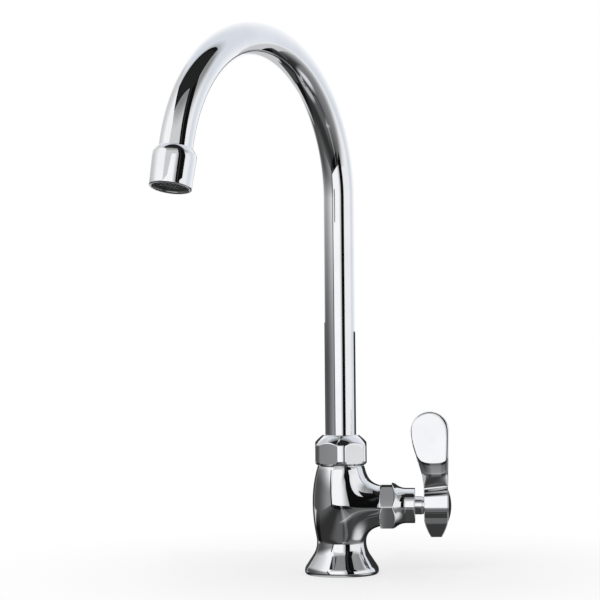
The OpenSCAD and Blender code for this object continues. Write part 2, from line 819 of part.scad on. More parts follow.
// Front outline of the lever, as [x, z] about the valve axis
function lever_front() =
    let (mid = hub_x + hub_len / 2 - paddle_off,
        rise = paddle_z - paddle_start,
        left = [for (i = [0:arc_n]) let (t = i / arc_n)
            [hub_x + (mid - paddle_r - hub_x) * ease(t), paddle_start + rise * t]],
        right = [for (i = [arc_n:-1:0]) let (t = i / arc_n)
            [hub_end + (mid + paddle_r - hub_end) * ease(t), paddle_start + rise * t]])
    concat(left, arc(mid, paddle_z, paddle_r, 180, 0), right);

// Middle line of the bent lever in the side view, for 0 to 1 up its height
function lever_y(t) =
    let (z = t * (paddle_z + paddle_r))
    z < knee_z ? -bend_reach * sin(90 * z / knee_z)
        : -bend_reach + lean * pow((z - knee_z) / (paddle_z + paddle_r - knee_z), 2);
function lever_half_t(t) = (root_t + (paddle_t - root_t) * ease(root_fade * t)) / 2;

// Side outline of the lever, as [y, z] about the valve axis
function lever_side() =
    let (n = 16, top = paddle_z + paddle_r)
    concat([for (i = [0:n]) let (t = i / n) [lever_y(t) - lever_half_t(t), top * t]],
        [for (i = [n:-1:0]) let (t = i / n) [lever_y(t) + lever_half_t(t), top * t]]);

// Bent paddle, hub and tapered tail in one piece
module lever() {
    tail_in = hub_d / 2 - over;
    tail_y = tail_in * cos(tail_angle);
    tail_top = -tail_in * sin(tail_angle);
    tail_rise = tail_z - tail_start;
    color(chrome) difference() {
        union() {
            intersection() {
                translate([0, 0, valve_z]) rotate([90, 0, 0])
                    linear_extrude(4 * bend_reach, center = true) polygon(lever_front());
                translate([0, 0, valve_z]) rotate([90, 0, 90])
                    linear_extrude(2 * hub_end) polygon(lever_side());
            }
            translate([hub_x, 0, valve_z]) rotate([90, 0, 90])
                linear_extrude(hub_len) intersection() {
                    polygon(lever_side());
                    translate([-hub_d, 0]) square([2 * hub_d, root_z]);
                }
            on_valve(hub_x) cylinder(d = hub_d, h = hub_len);
            intersection() {
                translate([hub_x, 0, valve_z]) rotate([90, 0, 90])
                    linear_extrude(hub_len) polygon([[-tail_y, tail_top],
                        [-tail_t / 2, -tail_z], [tail_t / 2, -tail_z],
                        [tail_y, tail_top]]);
                translate([0, 0, valve_z]) rotate([90, 0, 0])
                    linear_extrude(2 * hub_d, center = true) polygon(concat(
                        [[hub_x, 0]],
                        [for (i = [0:arc_n]) let (t = i / arc_n)
                            [hub_x + (hub_len - tail_w) / 2 * pow(t, tail_curve),
                                -tail_start - tail_rise * t]],
                        [for (i = [arc_n:-1:0]) let (t = i / arc_n)
                            [hub_end - (hub_len - tail_w) / 2 * pow(t, tail_curve),
                                -tail_start - tail_rise * t]],
                        [[hub_end, 0]]));
            }
        }
        on_valve(hub_x - over) cylinder(d = stem_d + 2 * tight_fit, h = skirt + over);
        on_valve(hub_x) cylinder(d = broach_d + 2 * tight_fit,
            h = stem_end + web_gap - hub_x, $fn = 12);
        on_valve(hub_x) cylinder(d = screw_d + 2 * screw_gap, h = hub_len);
        on_valve(recess_x) cylinder(d = recess_d, h = recess_depth + over);
    }
}

module lever_screw() {
    color(steel) on_valve(recess_x) difference() {
        union() {
            translate([0, 0, -screw_len]) cylinder(d = screw_d, h = screw_len);
            cylinder(d = head_d, h = head_t);
        }
        translate([-head_d, -slot_w / 2, head_t / 2]) cube([2 * head_d, slot_w, head_t]);
    }
}

// Domed cap that plugs into the recess and covers the screw
module index_cap() {
    cap_r = hub_d / 2 - cap_inset;
    sphere_r = (cap_r * cap_r + cap_dome * cap_dome) / (2 * cap_dome);
    color(chrome) {
        on_valve(hub_end) rotate_extrude() polygon(concat([[0, 0]],
            arc(0, cap_dome - sphere_r, sphere_r, 90 - asin(cap_r / sphere_r), 90)));
        on_valve(hub_end - plug_t) cylinder(d = recess_d - 2 * tight_fit, h = plug_t);
    }
}

body();
base_gasket();
spout_nut();
slip_ring();
spout_ferrule();
ferrule_seal_upper();
ferrule_seal_lower();
spout_tube();
outlet_adapter();
aerator_shell();
aerator_washer();
aerator_insert();
aerator_screen();
aerator_grille();
bonnet();
bonnet_seal();
valve_stem();
stem_seal_outer();
stem_seal_inner();
stem_clip();
thrust_washer();
disc_cage();
moving_disc();
fixed_disc();
seat_seal();
lever();
lever_screw();
index_cap();
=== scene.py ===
import math
import bmesh
import bpy
from mathutils import Matrix, Vector


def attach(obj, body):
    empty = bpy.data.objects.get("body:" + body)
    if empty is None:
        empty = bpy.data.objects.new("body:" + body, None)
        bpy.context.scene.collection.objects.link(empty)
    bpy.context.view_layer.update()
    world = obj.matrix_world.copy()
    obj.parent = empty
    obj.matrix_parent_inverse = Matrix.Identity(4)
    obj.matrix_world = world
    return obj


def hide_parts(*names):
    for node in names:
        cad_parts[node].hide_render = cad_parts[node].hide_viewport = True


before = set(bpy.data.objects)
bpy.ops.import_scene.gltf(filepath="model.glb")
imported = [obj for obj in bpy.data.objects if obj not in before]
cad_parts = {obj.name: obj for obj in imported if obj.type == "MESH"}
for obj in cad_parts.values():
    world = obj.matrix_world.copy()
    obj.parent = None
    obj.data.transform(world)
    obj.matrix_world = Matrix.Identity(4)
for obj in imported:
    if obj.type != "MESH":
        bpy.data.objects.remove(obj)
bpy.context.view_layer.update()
scene = bpy.context.scene
mm = 0.001  # pieces are drawn in millimetres and scaled by this at the end
weld = 1e-4  # points of a piece that lie nearer than this, in millimetres, become one


def arcPoints(x, y, radius, start, end, steps):
    turns = [math.radians(start + (end - start) * i / steps) for i in range(steps + 1)]
    return [(x + radius * math.cos(a), y + radius * math.sin(a)) for a in turns]


def ease(t):
    # 0 below 0, 1 above 1, with a soft start and end between
    t = min(1.0, max(0.0, t))
    return t * t * (3 - 2 * t)


def hump(z, low, lowWidth, high, highWidth):
    # rises above low and falls to nothing at high
    return ease((z - low) / lowWidth) * ease((high - z) / highWidth)


def softMin(a, b, softness):
    # the smaller of two numbers, rounded over where they cross
    h = max(0.0, min(1.0, 0.5 + 0.5 * (b - a) / softness))
    return b + (a - b) * h - softness * h * (1 - h)


def turned(outline, steps, closed=True):
    # outline is (radius, height); a closed one is a ring that doesn't reach the axis
    bm = bmesh.new()
    verts = [bm.verts.new((r, 0, z)) for r, z in outline]
    pairs = list(zip(verts, verts[1:])) + ([(verts[-1], verts[0])] if closed else [])
    edges = [bm.edges.new(pair) for pair in pairs]
    bmesh.ops.spin(bm, geom=verts + edges, cent=(0, 0, 0), axis=(0, 0, 1), dvec=(0, 0, 0),
                   angle=2 * math.pi, steps=steps, use_merge=True)
    bmesh.ops.remove_doubles(bm, verts=bm.verts, dist=weld)
    return bm


def cutHexagon(bm, acrossFlats, turn, softness, low, high, crown):
    # draws in what lies outside the hexagon, between two heights; crown is how far its flats belly out
    inner = acrossFlats * 0.4  # what lies inside this radius is bore and stays round
    for v in bm.verts:
        radius = math.hypot(v.co.x, v.co.y)
        if radius < inner or not low <= v.co.z <= high:
            continue
        angle = math.degrees(math.atan2(v.co.y, v.co.x)) - turn
        bend = math.radians(angle % 60 - 30)
        toCorner = 3 * math.tan(bend) ** 2  # 0 in the middle of a flat, 1 at its corners
        flat = (acrossFlats / 2 - crown * toCorner) / math.cos(bend)
        share = softMin(radius, flat, softness) / radius
        v.co.x *= share
        v.co.y *= share


def extrudeLoop(bm, edges):
    made = bmesh.ops.extrude_edge_only(bm, edges=edges)["geom"]
    return [g for g in made if isinstance(g, bmesh.types.BMVert)], \
        [g for g in made if isinstance(g, bmesh.types.BMEdge) and len(g.link_faces) == 1]


def toObject(bm, name, material):
    mesh = bpy.data.meshes.new(name)
    bm.to_mesh(mesh)
    bm.free()
    mesh.materials.append(material)
    made = bpy.data.objects.new(name, mesh)
    scene.collection.objects.link(made)
    return made


def toPiece(bm, name, body, material, nodes, place=Matrix(), sharp=35):
    bmesh.ops.remove_doubles(bm, verts=bm.verts, dist=weld)
    bmesh.ops.recalc_face_normals(bm, faces=bm.faces)
    bmesh.ops.transform(bm, matrix=place, verts=bm.verts)
    bmesh.ops.scale(bm, vec=(mm, mm, mm), verts=bm.verts)
    piece = toObject(bm, name, material)
    for face in piece.data.polygons:
        face.use_smooth = True
    piece.data.set_sharp_from_angle(angle=math.radians(sharp))
    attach(piece, body)
    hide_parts(*nodes)


class Wire:  # a socket in a node tree that takes Python's own signs
    def __init__(self, tree, socket=None):
        self.tree, self.socket = tree, socket

    def node(self, kind, settings=None, sockets=None, output=0):
        made = self.tree.nodes.new("ShaderNode" + kind)
        for key, value in (settings or {}).items():
            setattr(made, key, value)
        for key, value in (sockets or {}).items():
            if isinstance(value, Wire):
                self.tree.links.new(value.socket, made.inputs[key])
            else:
                made.inputs[key].default_value = value
        return Wire(self.tree, made.outputs[output] if made.outputs else None)

    def sign(self, operation, a, b=None):
        sockets = {0: a} if b is None else {0: a, 1: b}
        return self.node("Math", {"operation": operation}, sockets)

    def __add__(self, other): return self.sign("ADD", self, other)
    def __radd__(self, other): return self.sign("ADD", other, self)
    def __sub__(self, other): return self.sign("SUBTRACT", self, other)
    def __rsub__(self, other): return self.sign("SUBTRACT", other, self)
    def __mul__(self, other): return self.sign("MULTIPLY", self, other)
    def __rmul__(self, other): return self.sign("MULTIPLY", other, self)
    def sqrt(self): return self.sign("SQRT", self)
    def larger(self, other): return self.sign("MAXIMUM", self, other)
    def smaller(self, other): return self.sign("MINIMUM", self, other)

    def between(self, low, high):  # 0 at low, 1 at high, also where low is the higher number
        return self.node("MapRange", {"interpolation_type": "SMOOTHSTEP"},
                         {"Value": self, "From Min": low, "From Max": high})

    def band(self, start, full, fade, end):  # 1 from full to fade, 0 outside start and end
        return self.between(start, full) * self.between(end, fade)

    def blend(self, a, b):  # colour a where self is 0, b where it is 1
        return self.node("Mix", {"data_type": "RGBA"}, {0: self, 6: toColour(a), 7: toColour(b)}, 2)

    def parts(self):  # x, y and z of a vector
        return [self.node("SeparateXYZ", None, {0: self}, axis) for axis in "XYZ"]


def toColour(value):
    if isinstance(value, Wire):
        return value
    return (value, value, value, 1) if isinstance(value, (int, float)) else (*value, 1)


def distance(x, y, at):
    dx, dy = x - at[0], y - at[1]
    return (dx * dx + dy * dy).sqrt()


def newMaterial(name):
    material = bpy.data.materials.new(name)
    material.use_nodes = True
    material.node_tree.nodes.clear()
    return material, Wire(material.node_tree)


def endShader(tools, shader):
    tools.node("OutputMaterial", None, {"Surface": shader})


def spots(tools, scale, detail, stretch=(1, 1, 1), rough=0.5):
    place = tools.node("TexCoord", output="Object")
    place = tools.node("Mapping", None, {"Vector": place, "Scale": stretch})
    return tools.node("TexNoise", None, {
        "Vector": place, "Scale": scale, "Detail": detail, "Roughness": rough})


def chrome(name, s):
    # plated metal: faint haze, fine rub marks and the slow wave of what lies under the plating
    material, tools = newMaterial(name)
    haze = spots(tools, s["hazeScale"], s["hazeDetail"]).between(*s["hazeSpan"])
    rub = spots(tools, s["rubScale"], s["rubDetail"], s["rubStretch"], s["rubGrain"]).between(*s["rubSpan"])
    wave = spots(tools, s["waveScale"], s["waveDetail"], s["waveStretch"])
    colour = (haze * s["hazeShare"] + rub * s["rubShare"]).blend(s["bright"], s["dull"])
    roughness = haze * s["hazeRough"] + rub * s["rubRough"] + s["polish"]
    bump = tools.node("Bump", None, {"Height": wave + rub * s["rubHeight"], "Strength": s["waveStrength"],
                                     "Distance": s["waveDepth"] * mm})
    shader = tools.node("BsdfPrincipled", None, {
        "Base Color": colour, "Metallic": 1.0, "Roughness": roughness, "Normal": bump})
    endShader(tools, shader)
    return material


def moulded(name, s):
    # plastic, rubber or ceramic: mottled colour over a fine grain
    s = {"mottleDetail": 4.0, "mottleSpan": (0.3, 0.7), "mottleRough": 0.12, "grainDetail": 2.0,
         "grainDepth": 0.05, **s}
    material, tools = newMaterial(name)
    mottle = spots(tools, s["mottleScale"], s["mottleDetail"]).between(*s["mottleSpan"])
    grain = spots(tools, s["grainScale"], s["grainDetail"])
    bump = tools.node("Bump", None, {
        "Height": grain, "Strength": s["grain"], "Distance": s["grainDepth"] * mm})
    shader = tools.node("BsdfPrincipled", None, {
        "Base Color": mottle.blend(s["colour"], s["shade"]),
        "Roughness": mottle * s["mottleRough"] + s["rough"], "Normal": bump})
    endShader(tools, shader)
    return material


def brushed(name, s):
    # bare metal with lathe or rolling marks and a little tarnish
    s = {"tarnishDetail": 4.0, "tarnishSpan": (0.4, 0.75), "tarnishRough": 0.1, "markDetail": 2.0,
         "markGrain": 0.8, "markRough": 0.2, "markStrength": 0.3, "markDepth": 0.03, **s}
    material, tools = newMaterial(name)
    tarnish = spots(tools, s["tarnishScale"], s["tarnishDetail"]).between(*s["tarnishSpan"])
    marks = spots(tools, s["markScale"], s["markDetail"], s["markStretch"], s["markGrain"])
    bump = tools.node("Bump", None, {"Height": marks, "Strength": s["markStrength"],
                                     "Distance": s["markDepth"] * mm})
    shader = tools.node("BsdfPrincipled", None, {
        "Base Color": tarnish.blend(s["colour"], s["shade"]), "Metallic": 1.0,
        "Roughness": marks * s["markRough"] + tarnish * s["tarnishRough"] + s["rough"], "Normal": bump})
    endShader(tools, shader)
    return material


chromeBase = {
    "bright": (0.90, 0.91, 0.93), "dull": (0.84, 0.85, 0.88), "polish": 0.02,
    "hazeScale": 60.0, "hazeDetail": 5.0, "hazeSpan": (0.35, 0.7), "hazeShare": 0.6, "hazeRough": 0.02,
    "rubScale": 90.0, "rubDetail": 2.0, "rubGrain": 0.7, "rubStretch": (1, 1, 8), "rubSpan": (0.55, 0.8),
    "rubShare": 0.4, "rubRough": 0.03, "rubHeight": 0.02,
    "waveScale": 40.0, "waveDetail": 1.0, "waveStretch": (1, 1, 1), "waveStrength": 0.25, "waveDepth": 0.05}
castChrome = chrome("castChrome", {**chromeBase, "waveScale": 70.0, "waveDepth": 0.06})
tubeChrome = chrome("tubeChrome", {**chromeBase, "rubStretch": (8, 8, 1), "waveStretch": (1, 1, 0.3),
                                   "waveScale": 50.0, "waveDepth": 0.03})
nutChrome = chrome("nutChrome", {**chromeBase, "waveScale": 90.0, "waveDepth": 0.03})
shellChrome = chrome("shellChrome", {**chromeBase, "waveScale": 60.0, "waveDepth": 0.02})
leverChrome = chrome("leverChrome", {**chromeBase, "waveScale": 60.0, "waveDepth": 0.05})
print("materials made")

castBody = {
    "steps": 144,
    # the turned outside, from the foot up
    "footRadius": 23.88, "lipLower": 2.4, "lipUpper": 6.0, "lipHeight": 1.95,
    "neckRadius": 15.9, "neckHeight": 20.5, "neckCurve": 15.5, "bellyRadius": 18.55, "bellyHeight": 46.0,
    "rimRadius": 14.9, "rimHeight": 69.6, "rimEdge": 0.15, "rimStop": 0.6,
    "noseRadius": 13.2, "noseTop": 81.0, "noseChamfer": 0.6,
    # the inside and the gasket's groove
    "socketRadius": 11.0, "socketFloor": 57.0, "inletRadius": 9.3, "inletDepth": 15.0, "inletChamfer": 0.9,
    "threadPitch": 1.6, "threadDepth": 0.8, "threadStart": 1.5,
    "gasketInner": 16.56, "gasketOuter": 20.04, "gasketDepth": 1.8,
    "riserRadius": 5.0, "riserOffset": -4.2, "riserHeight": 34.0,
    # the side boss; it leaves the skin on a wide oval, whose half turn is in degrees
    "valveHeight": 43.5, "bossEnd": 25.2, "bossRadius": 13.3, "bossEdge": 0.35, "bossRows": 24,
    "bossHalfTurn": 82.0, "bossMiddle": 43.7, "bossHalfHeight": 22.6, "bossCorner": 4.5, "bossTaper": 11.5,
    "leave": 0.32, "arrive": 0.50, "noseClear": 0.5, "recessRadius": 11.25, "recessDepth": 9.0,
    # what is smoothed round the oval
    "smoothing": 14, "smoothReach": 1.12, "smoothClear": 0.8, "smoothTop": 1.5, "smoothEnd": 1.2}


def bodyOutline(s):
    # half the section: inlet, groove, foot, neck, belly, rim, nose and socket
    foot, lower, upper, lipZ = s["footRadius"], s["lipLower"], s["lipUpper"], s["lipHeight"]
    curve, belly, bellyZ, rim, rimZ = (s[k] for k in (
        "neckCurve", "bellyRadius", "bellyHeight", "rimRadius", "rimHeight"))
    neckX = s["neckRadius"] + curve
    dx, dz = neckX - foot + upper, s["neckHeight"] - lipZ
    flare = math.degrees(math.asin((upper + curve) / math.hypot(dx, dz)) - math.atan2(dx, dz))
    a, h = neckX - belly, bellyZ - s["neckHeight"]
    lowRadius = (a * a + h * h - curve * curve) / (2 * (curve - a))
    lowX = belly - lowRadius
    lowTurn = math.degrees(math.atan2(-h, neckX - lowX))
    d, rise = belly - rim, rimZ - bellyZ
    topRadius = (d * d + rise * rise) / (2 * d)
    topTurn = math.degrees(math.asin(rise / topRadius))
    inlet, depth, pitch = s["inletRadius"], s["inletDepth"], s["threadPitch"]
    points = [(0, depth), (inlet, depth)]
    for i in range(int(depth / pitch) - 1):
        z = depth - s["threadStart"] - i * pitch
        points += [(inlet, z), (inlet + s["threadDepth"], z - pitch / 2)]
    points += [(inlet, s["inletChamfer"]), (inlet + s["inletChamfer"], 0), (s["gasketInner"], 0),
               (s["gasketInner"], s["gasketDepth"]), (s["gasketOuter"], s["gasketDepth"]),
               (s["gasketOuter"], 0)]
    points += arcPoints(foot - lower, lipZ, lower, -math.degrees(math.asin(lipZ / lower)), 0, 7)
    points += arcPoints(foot - upper, lipZ, upper, 0, flare, 12)[1:]
    points += arcPoints(neckX, s["neckHeight"], curve, 180 + flare, 180 + lowTurn, 16)[1:]
    points += arcPoints(lowX, bellyZ, lowRadius, lowTurn, 0, 16)[1:]
    points += arcPoints(belly - topRadius, bellyZ, topRadius, 0, topTurn - s["rimStop"], 16)[1:]
    nose, top = s["noseRadius"], s["noseTop"]
    points += [(rim - s["rimEdge"], rimZ), (nose, rimZ), (nose, top - s["noseChamfer"]),
               (nose - s["noseChamfer"], top), (s["socketRadius"], top),
               (s["socketRadius"], s["socketFloor"]), (0, s["socketFloor"])]
    return points


def skinRadius(z, outline):
    # outer radius of the turned body at a height
    found = 0.0
    for (r1, z1), (r2, z2) in zip(outline, outline[1:]):
        if z1 != z2 and min(z1, z2) <= z <= max(z1, z2):
            found = max(found, r1 + (r2 - r1) * (z - z1) / (z2 - z1))
    return found


def bossCurve(start, out, s, t):
    # from the body's skin at start, leaving along the skin, to the boss's round end
    angle = math.atan2(start.z - s["valveHeight"], start.y)
    taper = math.tan(math.radians(s["bossTaper"]))
    radial = Vector((0, math.cos(angle), math.sin(angle)))
    end = Vector((s["bossEnd"], 0, s["valveHeight"])) + radial * s["bossRadius"]
    span = end - start
    leave = (span - out * span.dot(out)).normalized() * span.length * s["leave"]
    arrive = (Vector((1, 0, 0)) - radial * taper).normalized() * span.length * s["arrive"]
    a, b, c, d = start, start + leave, end - arrive, end
    return a * (1 - t) ** 3 + b * 3 * t * (1 - t) ** 2 + c * 3 * t * t * (1 - t) + d * t ** 3


def growBoss(bm, s, outline):
    # cuts an oval from the skin and draws its edge out to the boss's round end
    def fromBoss(x, y, z):  # 1 on the oval where the boss leaves the skin
        u = math.degrees(math.atan2(y, x)) / s["bossHalfTurn"]
        v = (z - s["bossMiddle"]) / s["bossHalfHeight"]
        return (abs(u) ** s["bossCorner"] + abs(v) ** s["bossCorner"]) ** (1 / s["bossCorner"])

    def underBoss(face):
        c = face.calc_center_median()
        return math.hypot(c.x, c.y) > s["noseRadius"] + s["noseClear"] and fromBoss(*c) < 1

    def whereabouts(v):
        return tuple(round(x, 4) for x in v.co)

    bmesh.ops.delete(bm, geom=[f for f in bm.faces if underBoss(f)], context="FACES")
    edges = [e for e in bm.edges if len(e.link_faces) == 1]
    starts = {}
    step = 0.3  # the skin's slope is taken between this far below and above a point
    for v in {v for e in edges for v in e.verts}:
        share = fromBoss(*v.co)
        turn = math.atan2(v.co.y, v.co.x) / share
        z = s["bossMiddle"] + (v.co.z - s["bossMiddle"]) / share
        radius = skinRadius(z, outline)
        slope = (skinRadius(z + step, outline) - skinRadius(z - step, outline)) / (2 * step)
        v.co = (radius * math.cos(turn), radius * math.sin(turn), z)
        out = Vector((math.cos(turn), math.sin(turn), -slope)).normalized()
        starts[whereabouts(v)] = (v.co.copy(), out)
    for row in range(1, s["bossRows"] + 1):
        made, edges = extrudeLoop(bm, edges)
        for v in made:
            start, out = starts.pop(whereabouts(v))
            v.co = bossCurve(start, out, s, row / s["bossRows"])
            starts[whereabouts(v)] = (start, out)
    near = [v for v in bm.verts if math.hypot(v.co.x, v.co.y) > s["noseRadius"] + s["smoothClear"]
            and fromBoss(*v.co) < s["smoothReach"] and v.co.x < s["bossEnd"] - s["smoothEnd"]
            and s["neckHeight"] < v.co.z < s["rimHeight"] - s["smoothTop"]]
    for _ in range(s["smoothing"]):
        bmesh.ops.smooth_vert(bm, verts=near, factor=0.5, use_axis_x=True, use_axis_y=True, use_axis_z=True)
    rim = [(s["bossRadius"] - s["bossEdge"], s["bossEnd"]), (s["recessRadius"], s["bossEnd"]),
           (s["recessRadius"], s["bossEnd"] - s["recessDepth"])]
    for radius, x in rim:
        made, edges = extrudeLoop(bm, edges)
        for v in made:
            flat = Vector((0, v.co.y, v.co.z - s["valveHeight"])).normalized()
            v.co = Vector((x, 0, s["valveHeight"])) + flat * radius
    bmesh.ops.contextual_create(bm, geom=edges)


def boreRiser(bm, s):
    # opens the inlet's roof and draws a narrower bore up from it
    middle = Vector((0, 0, s["inletDepth"]))
    roof = [v for v in bm.verts if (v.co - middle).length < weld]
    bmesh.ops.delete(bm, geom=roof, context="VERTS")
    edges = [e for e in bm.edges if len(e.link_faces) == 1]
    made, edges = extrudeLoop(bm, edges)
    share = s["riserRadius"] / s["inletRadius"]
    for v in made:
        v.co.x = v.co.x * share + s["riserOffset"]
        v.co.y *= share
    made, edges = extrudeLoop(bm, edges)
    bmesh.ops.translate(bm, verts=made, vec=(0, 0, s["riserHeight"] - s["inletDepth"]))
    bmesh.ops.contextual_create(bm, geom=edges)


def makeBody(s):
    outline = bodyOutline(s)
    bm = turned(outline, s["steps"], closed=False)
    bmesh.ops.recalc_face_normals(bm, faces=bm.faces)
    growBoss(bm, s, outline)
    boreRiser(bm, s)
    return bm


toPiece(makeBody(castBody), "bodyCasting", "tap", castChrome, ["body"], sharp=40)
print("body made")

spoutNut = {
    "acrossFlats": 33.2, "turned": 17.9, "low": 69.9, "high": 89.4, "turn": 33.0, "soft": 0.35,
    "crown": 0.16, "flatSteps": 9, "steps": 288,
    "chamfer": 1.6, "chamferTop": 0.4, "chamferSide": (0.25, 0.2), "faceRound": 0.5, "faceInset": 0.9,
    "domeHeight": 6.6, "domeSide": 36.0, "domeTop": 52.0, "domeStart": (0.15, 0.35), "domeCut": 0.9,
    "topRound": 2.2, "tubeHole": 10.3, "holeEdge": (0.15, 0.2), "bore": 13.24, "ledge": 84.8}


def makeNut(s):
    low, high, out, flatEdge = s["low"], s["high"], s["turned"], s["chamferTop"]
    side, top = math.radians(s["domeSide"]), math.radians(s["domeTop"])
    inset, r = out - s["chamfer"] - s["faceInset"], s["faceRound"]
    outline = [(s["bore"], low + r), (s["bore"] + r, low), (inset, low)]
    outline += arcPoints(inset, low + r, r, -90, -45, 4)[1:]
    outline += [(out - s["chamferSide"][0], low + s["chamfer"] - s["chamferSide"][1])]
    # the flats, then the dome: a shallow arc whose normal climbs from side to top, closed by a small round
    start = high - s["domeHeight"]
    rise = start - low - s["chamfer"] - 2 * flatEdge
    outline += [(out, low + s["chamfer"] + flatEdge + i * rise / s["flatSteps"])
                for i in range(s["flatSteps"] + 1)]
    radius = (s["domeHeight"] - s["domeCut"]) / (math.sin(top) - math.sin(side))
    outline += arcPoints(out - s["domeStart"][0] - radius * math.cos(side),
                         start + s["domeStart"][1] - radius * math.sin(side), radius,
                         s["domeSide"], s["domeTop"], 16)
    r = s["topRound"]
    outline += arcPoints(outline[-1][0] - r * math.cos(top), high - r, r, s["domeTop"], 90, 8)[1:]
    outline += [(s["tubeHole"] + s["holeEdge"][0], high), (s["tubeHole"], high - s["holeEdge"][1]),
                (s["tubeHole"], s["ledge"]), (s["bore"], s["ledge"])]
    bm = turned(outline, s["steps"])
    cutHexagon(bm, s["acrossFlats"], s["turn"], s["soft"], low - 1, high + 1, s["crown"])
    return bm


toPiece(makeNut(spoutNut), "spoutNut", "tap", nutChrome, ["spout_nut"], sharp=28)

gooseneck = {"radius": 10.0, "wall": 1.0, "endChamfer": 0.3, "foot": 71.5, "bendHeight": 241.12,
             "bendRadius": 92.2, "bendTurn": 166.0, "turn": -117.4, "endLength": 10.9, "steps": 150,
             "columnSteps": 24, "endSteps": 4, "sides": 96}


def makeGooseneck(s):
    bm = bmesh.new()
    cut = s["endChamfer"]
    bmesh.ops.create_circle(bm, segments=s["sides"], radius=s["radius"] - cut)
    bmesh.ops.translate(bm, verts=bm.verts, vec=(0, 0, s["foot"]))
    made, edges = extrudeLoop(bm, list(bm.edges))
    for v in made:
        v.co.x *= s["radius"] / (s["radius"] - cut)
        v.co.y *= s["radius"] / (s["radius"] - cut)
        v.co.z += cut
    rise = (s["bendHeight"] - s["foot"] - cut) / s["columnSteps"]
    for _ in range(s["columnSteps"]):
        made, edges = extrudeLoop(bm, edges)
        bmesh.ops.translate(bm, verts=made, vec=(0, 0, rise))
    turn = math.radians(s["bendTurn"])
    centre = Vector((s["bendRadius"], 0, s["bendHeight"]))
    for _ in range(s["steps"]):
        made, edges = extrudeLoop(bm, edges)
        bmesh.ops.rotate(bm, verts=made, cent=centre, matrix=Matrix.Rotation(turn / s["steps"], 3, "Y"))
    along = Matrix.Rotation(turn, 3, "Y") @ Vector((0, 0, 1))
    for _ in range(s["endSteps"]):
        made, edges = extrudeLoop(bm, edges)
        bmesh.ops.translate(bm, verts=made, vec=along * s["endLength"] / s["endSteps"])
    bmesh.ops.recalc_face_normals(bm, faces=bm.faces)
    bmesh.ops.solidify(bm, geom=bm.faces[:], thickness=s["wall"])
    aside = Matrix.Rotation(math.radians(s["turn"]), 3, "Z")
    bmesh.ops.rotate(bm, verts=bm.verts, cent=(0, 0, 0), matrix=aside)
    return bm


def bendEnd(s):
    # place of the bend's end: its Z axis runs out of the spout
    turn, radius = math.radians(s["bendTurn"]), s["bendRadius"]
    end = (radius * (1 - math.cos(turn)), 0, s["bendHeight"] + radius * math.sin(turn))
    return Matrix.Rotation(math.radians(s["turn"]), 4, "Z") @ Matrix.Translation(end) \
        @ Matrix.Rotation(turn, 4, "Y")


toPiece(makeGooseneck(gooseneck), "gooseneckTube", "spout", tubeChrome, ["spout_tube"])
print("spout made")

# heights run along the spout from the bend's end; an edge's points are steps in radius and height
aeratorShell = {"top": 3.2, "tubeHole": 10.25, "mouthEdge": ((0, 0.25), (0.15, 0.05)), "rim": 10.9,
                "rimEdge": ((-0.15, 0), (0.05, 0.1)), "shoulderStart": (0.08, 0.15), "shoulder": 2.9,
                "shoulderTurn": 12.0, "sideStart": 0.7, "sideSteps": 6, "radius": 13.0, "endRadius": 12.4,
                "end": 26.4, "endRound": 0.8, "lipRadius": 10.95, "lip": 1.0, "lipChamfer": 0.3,
                "insertRadius": 10.74, "threadRadius": 11.54, "threadTop": 5.8, "threadEnd": 16.0,
                "steps": 144}


def makeShell(s):
    top, end, rim, n = s["top"], s["end"], s["rim"], s["sideSteps"]
    side = top + s["shoulder"] + s["sideStart"]
    outline = [(s["tubeHole"] + r, top + z) for r, z in s["mouthEdge"]]
    outline += [(rim + r, top + z) for r, z in s["rimEdge"]]
    # the shoulder bellies out from the rim to the side
    low = Vector((rim, top)) + Vector(s["shoulderStart"])
    high = Vector((s["radius"], side))
    chord = high - low
    slope, half = math.degrees(math.atan2(-chord.x, chord.y)), s["shoulderTurn"] / 2
    ball = chord.length / (2 * math.sin(math.radians(half)))
    inward = Vector((-chord.y, chord.x)).normalized()
    middle = (low + high) / 2 + inward * ball * math.cos(math.radians(half))
    outline += arcPoints(middle.x, middle.y, ball, slope - half, slope + half, 14)[1:]
    length, r = end - s["endRound"] - side, s["endRound"]
    outline += [(s["radius"] + (s["endRadius"] - s["radius"]) * i / n, side + length * i / n)
                for i in range(1, n + 1)]
    outline += arcPoints(s["endRadius"] - r, end - r, r, 0, 90, 8)[1:]
    outline += [(s["lipRadius"] + s["lipChamfer"], end), (s["lipRadius"], end - s["lipChamfer"]),
                (s["lipRadius"], end - s["lip"]), (s["insertRadius"], end - s["lip"]),
                (s["insertRadius"], s["threadEnd"]), (s["threadRadius"], s["threadEnd"]),
                (s["threadRadius"], s["threadTop"]), (s["tubeHole"], s["threadTop"])]
    return turned(outline, s["steps"])


toPiece(makeShell(aeratorShell), "aeratorShell", "spout", shellChrome, ["aerator_shell"],
        place=bendEnd(gooseneck))
print("aerator made")

# bonnet, stem and cap are drawn along Z and laid onto the valve axis
valveAxis = Matrix.Translation((0, 0, castBody["valveHeight"])) @ Matrix.Rotation(math.radians(90), 4, "Y")

bonnet = {"threadEnd": 16.2, "threadRadius": 11.2, "threadChamfer": 0.4, "relief": 1.2, "face": 25.2,
          "faceEdge": ((-1.0, 0), (-0.7, 0.15), (-0.15, 0.7), (0, 1.0)), "hexEnd": 33.0, "hexSteps": 12,
          "neckEnd": 42.0, "end": 47.5, "endRound": 0.4, "acrossFlats": 28.6, "turn": 30.0, "sleeve": 11.3,
          "sleeveStep": 1.5, "bore": 5.81, "clipRadius": 7.6, "clipChamfer": 0.3, "clipDepth": 1.7,
          "cageRadius": 8.9, "cageEnd": 20.5, "soft": 0.75, "crown": 0.2, "steps": 240}


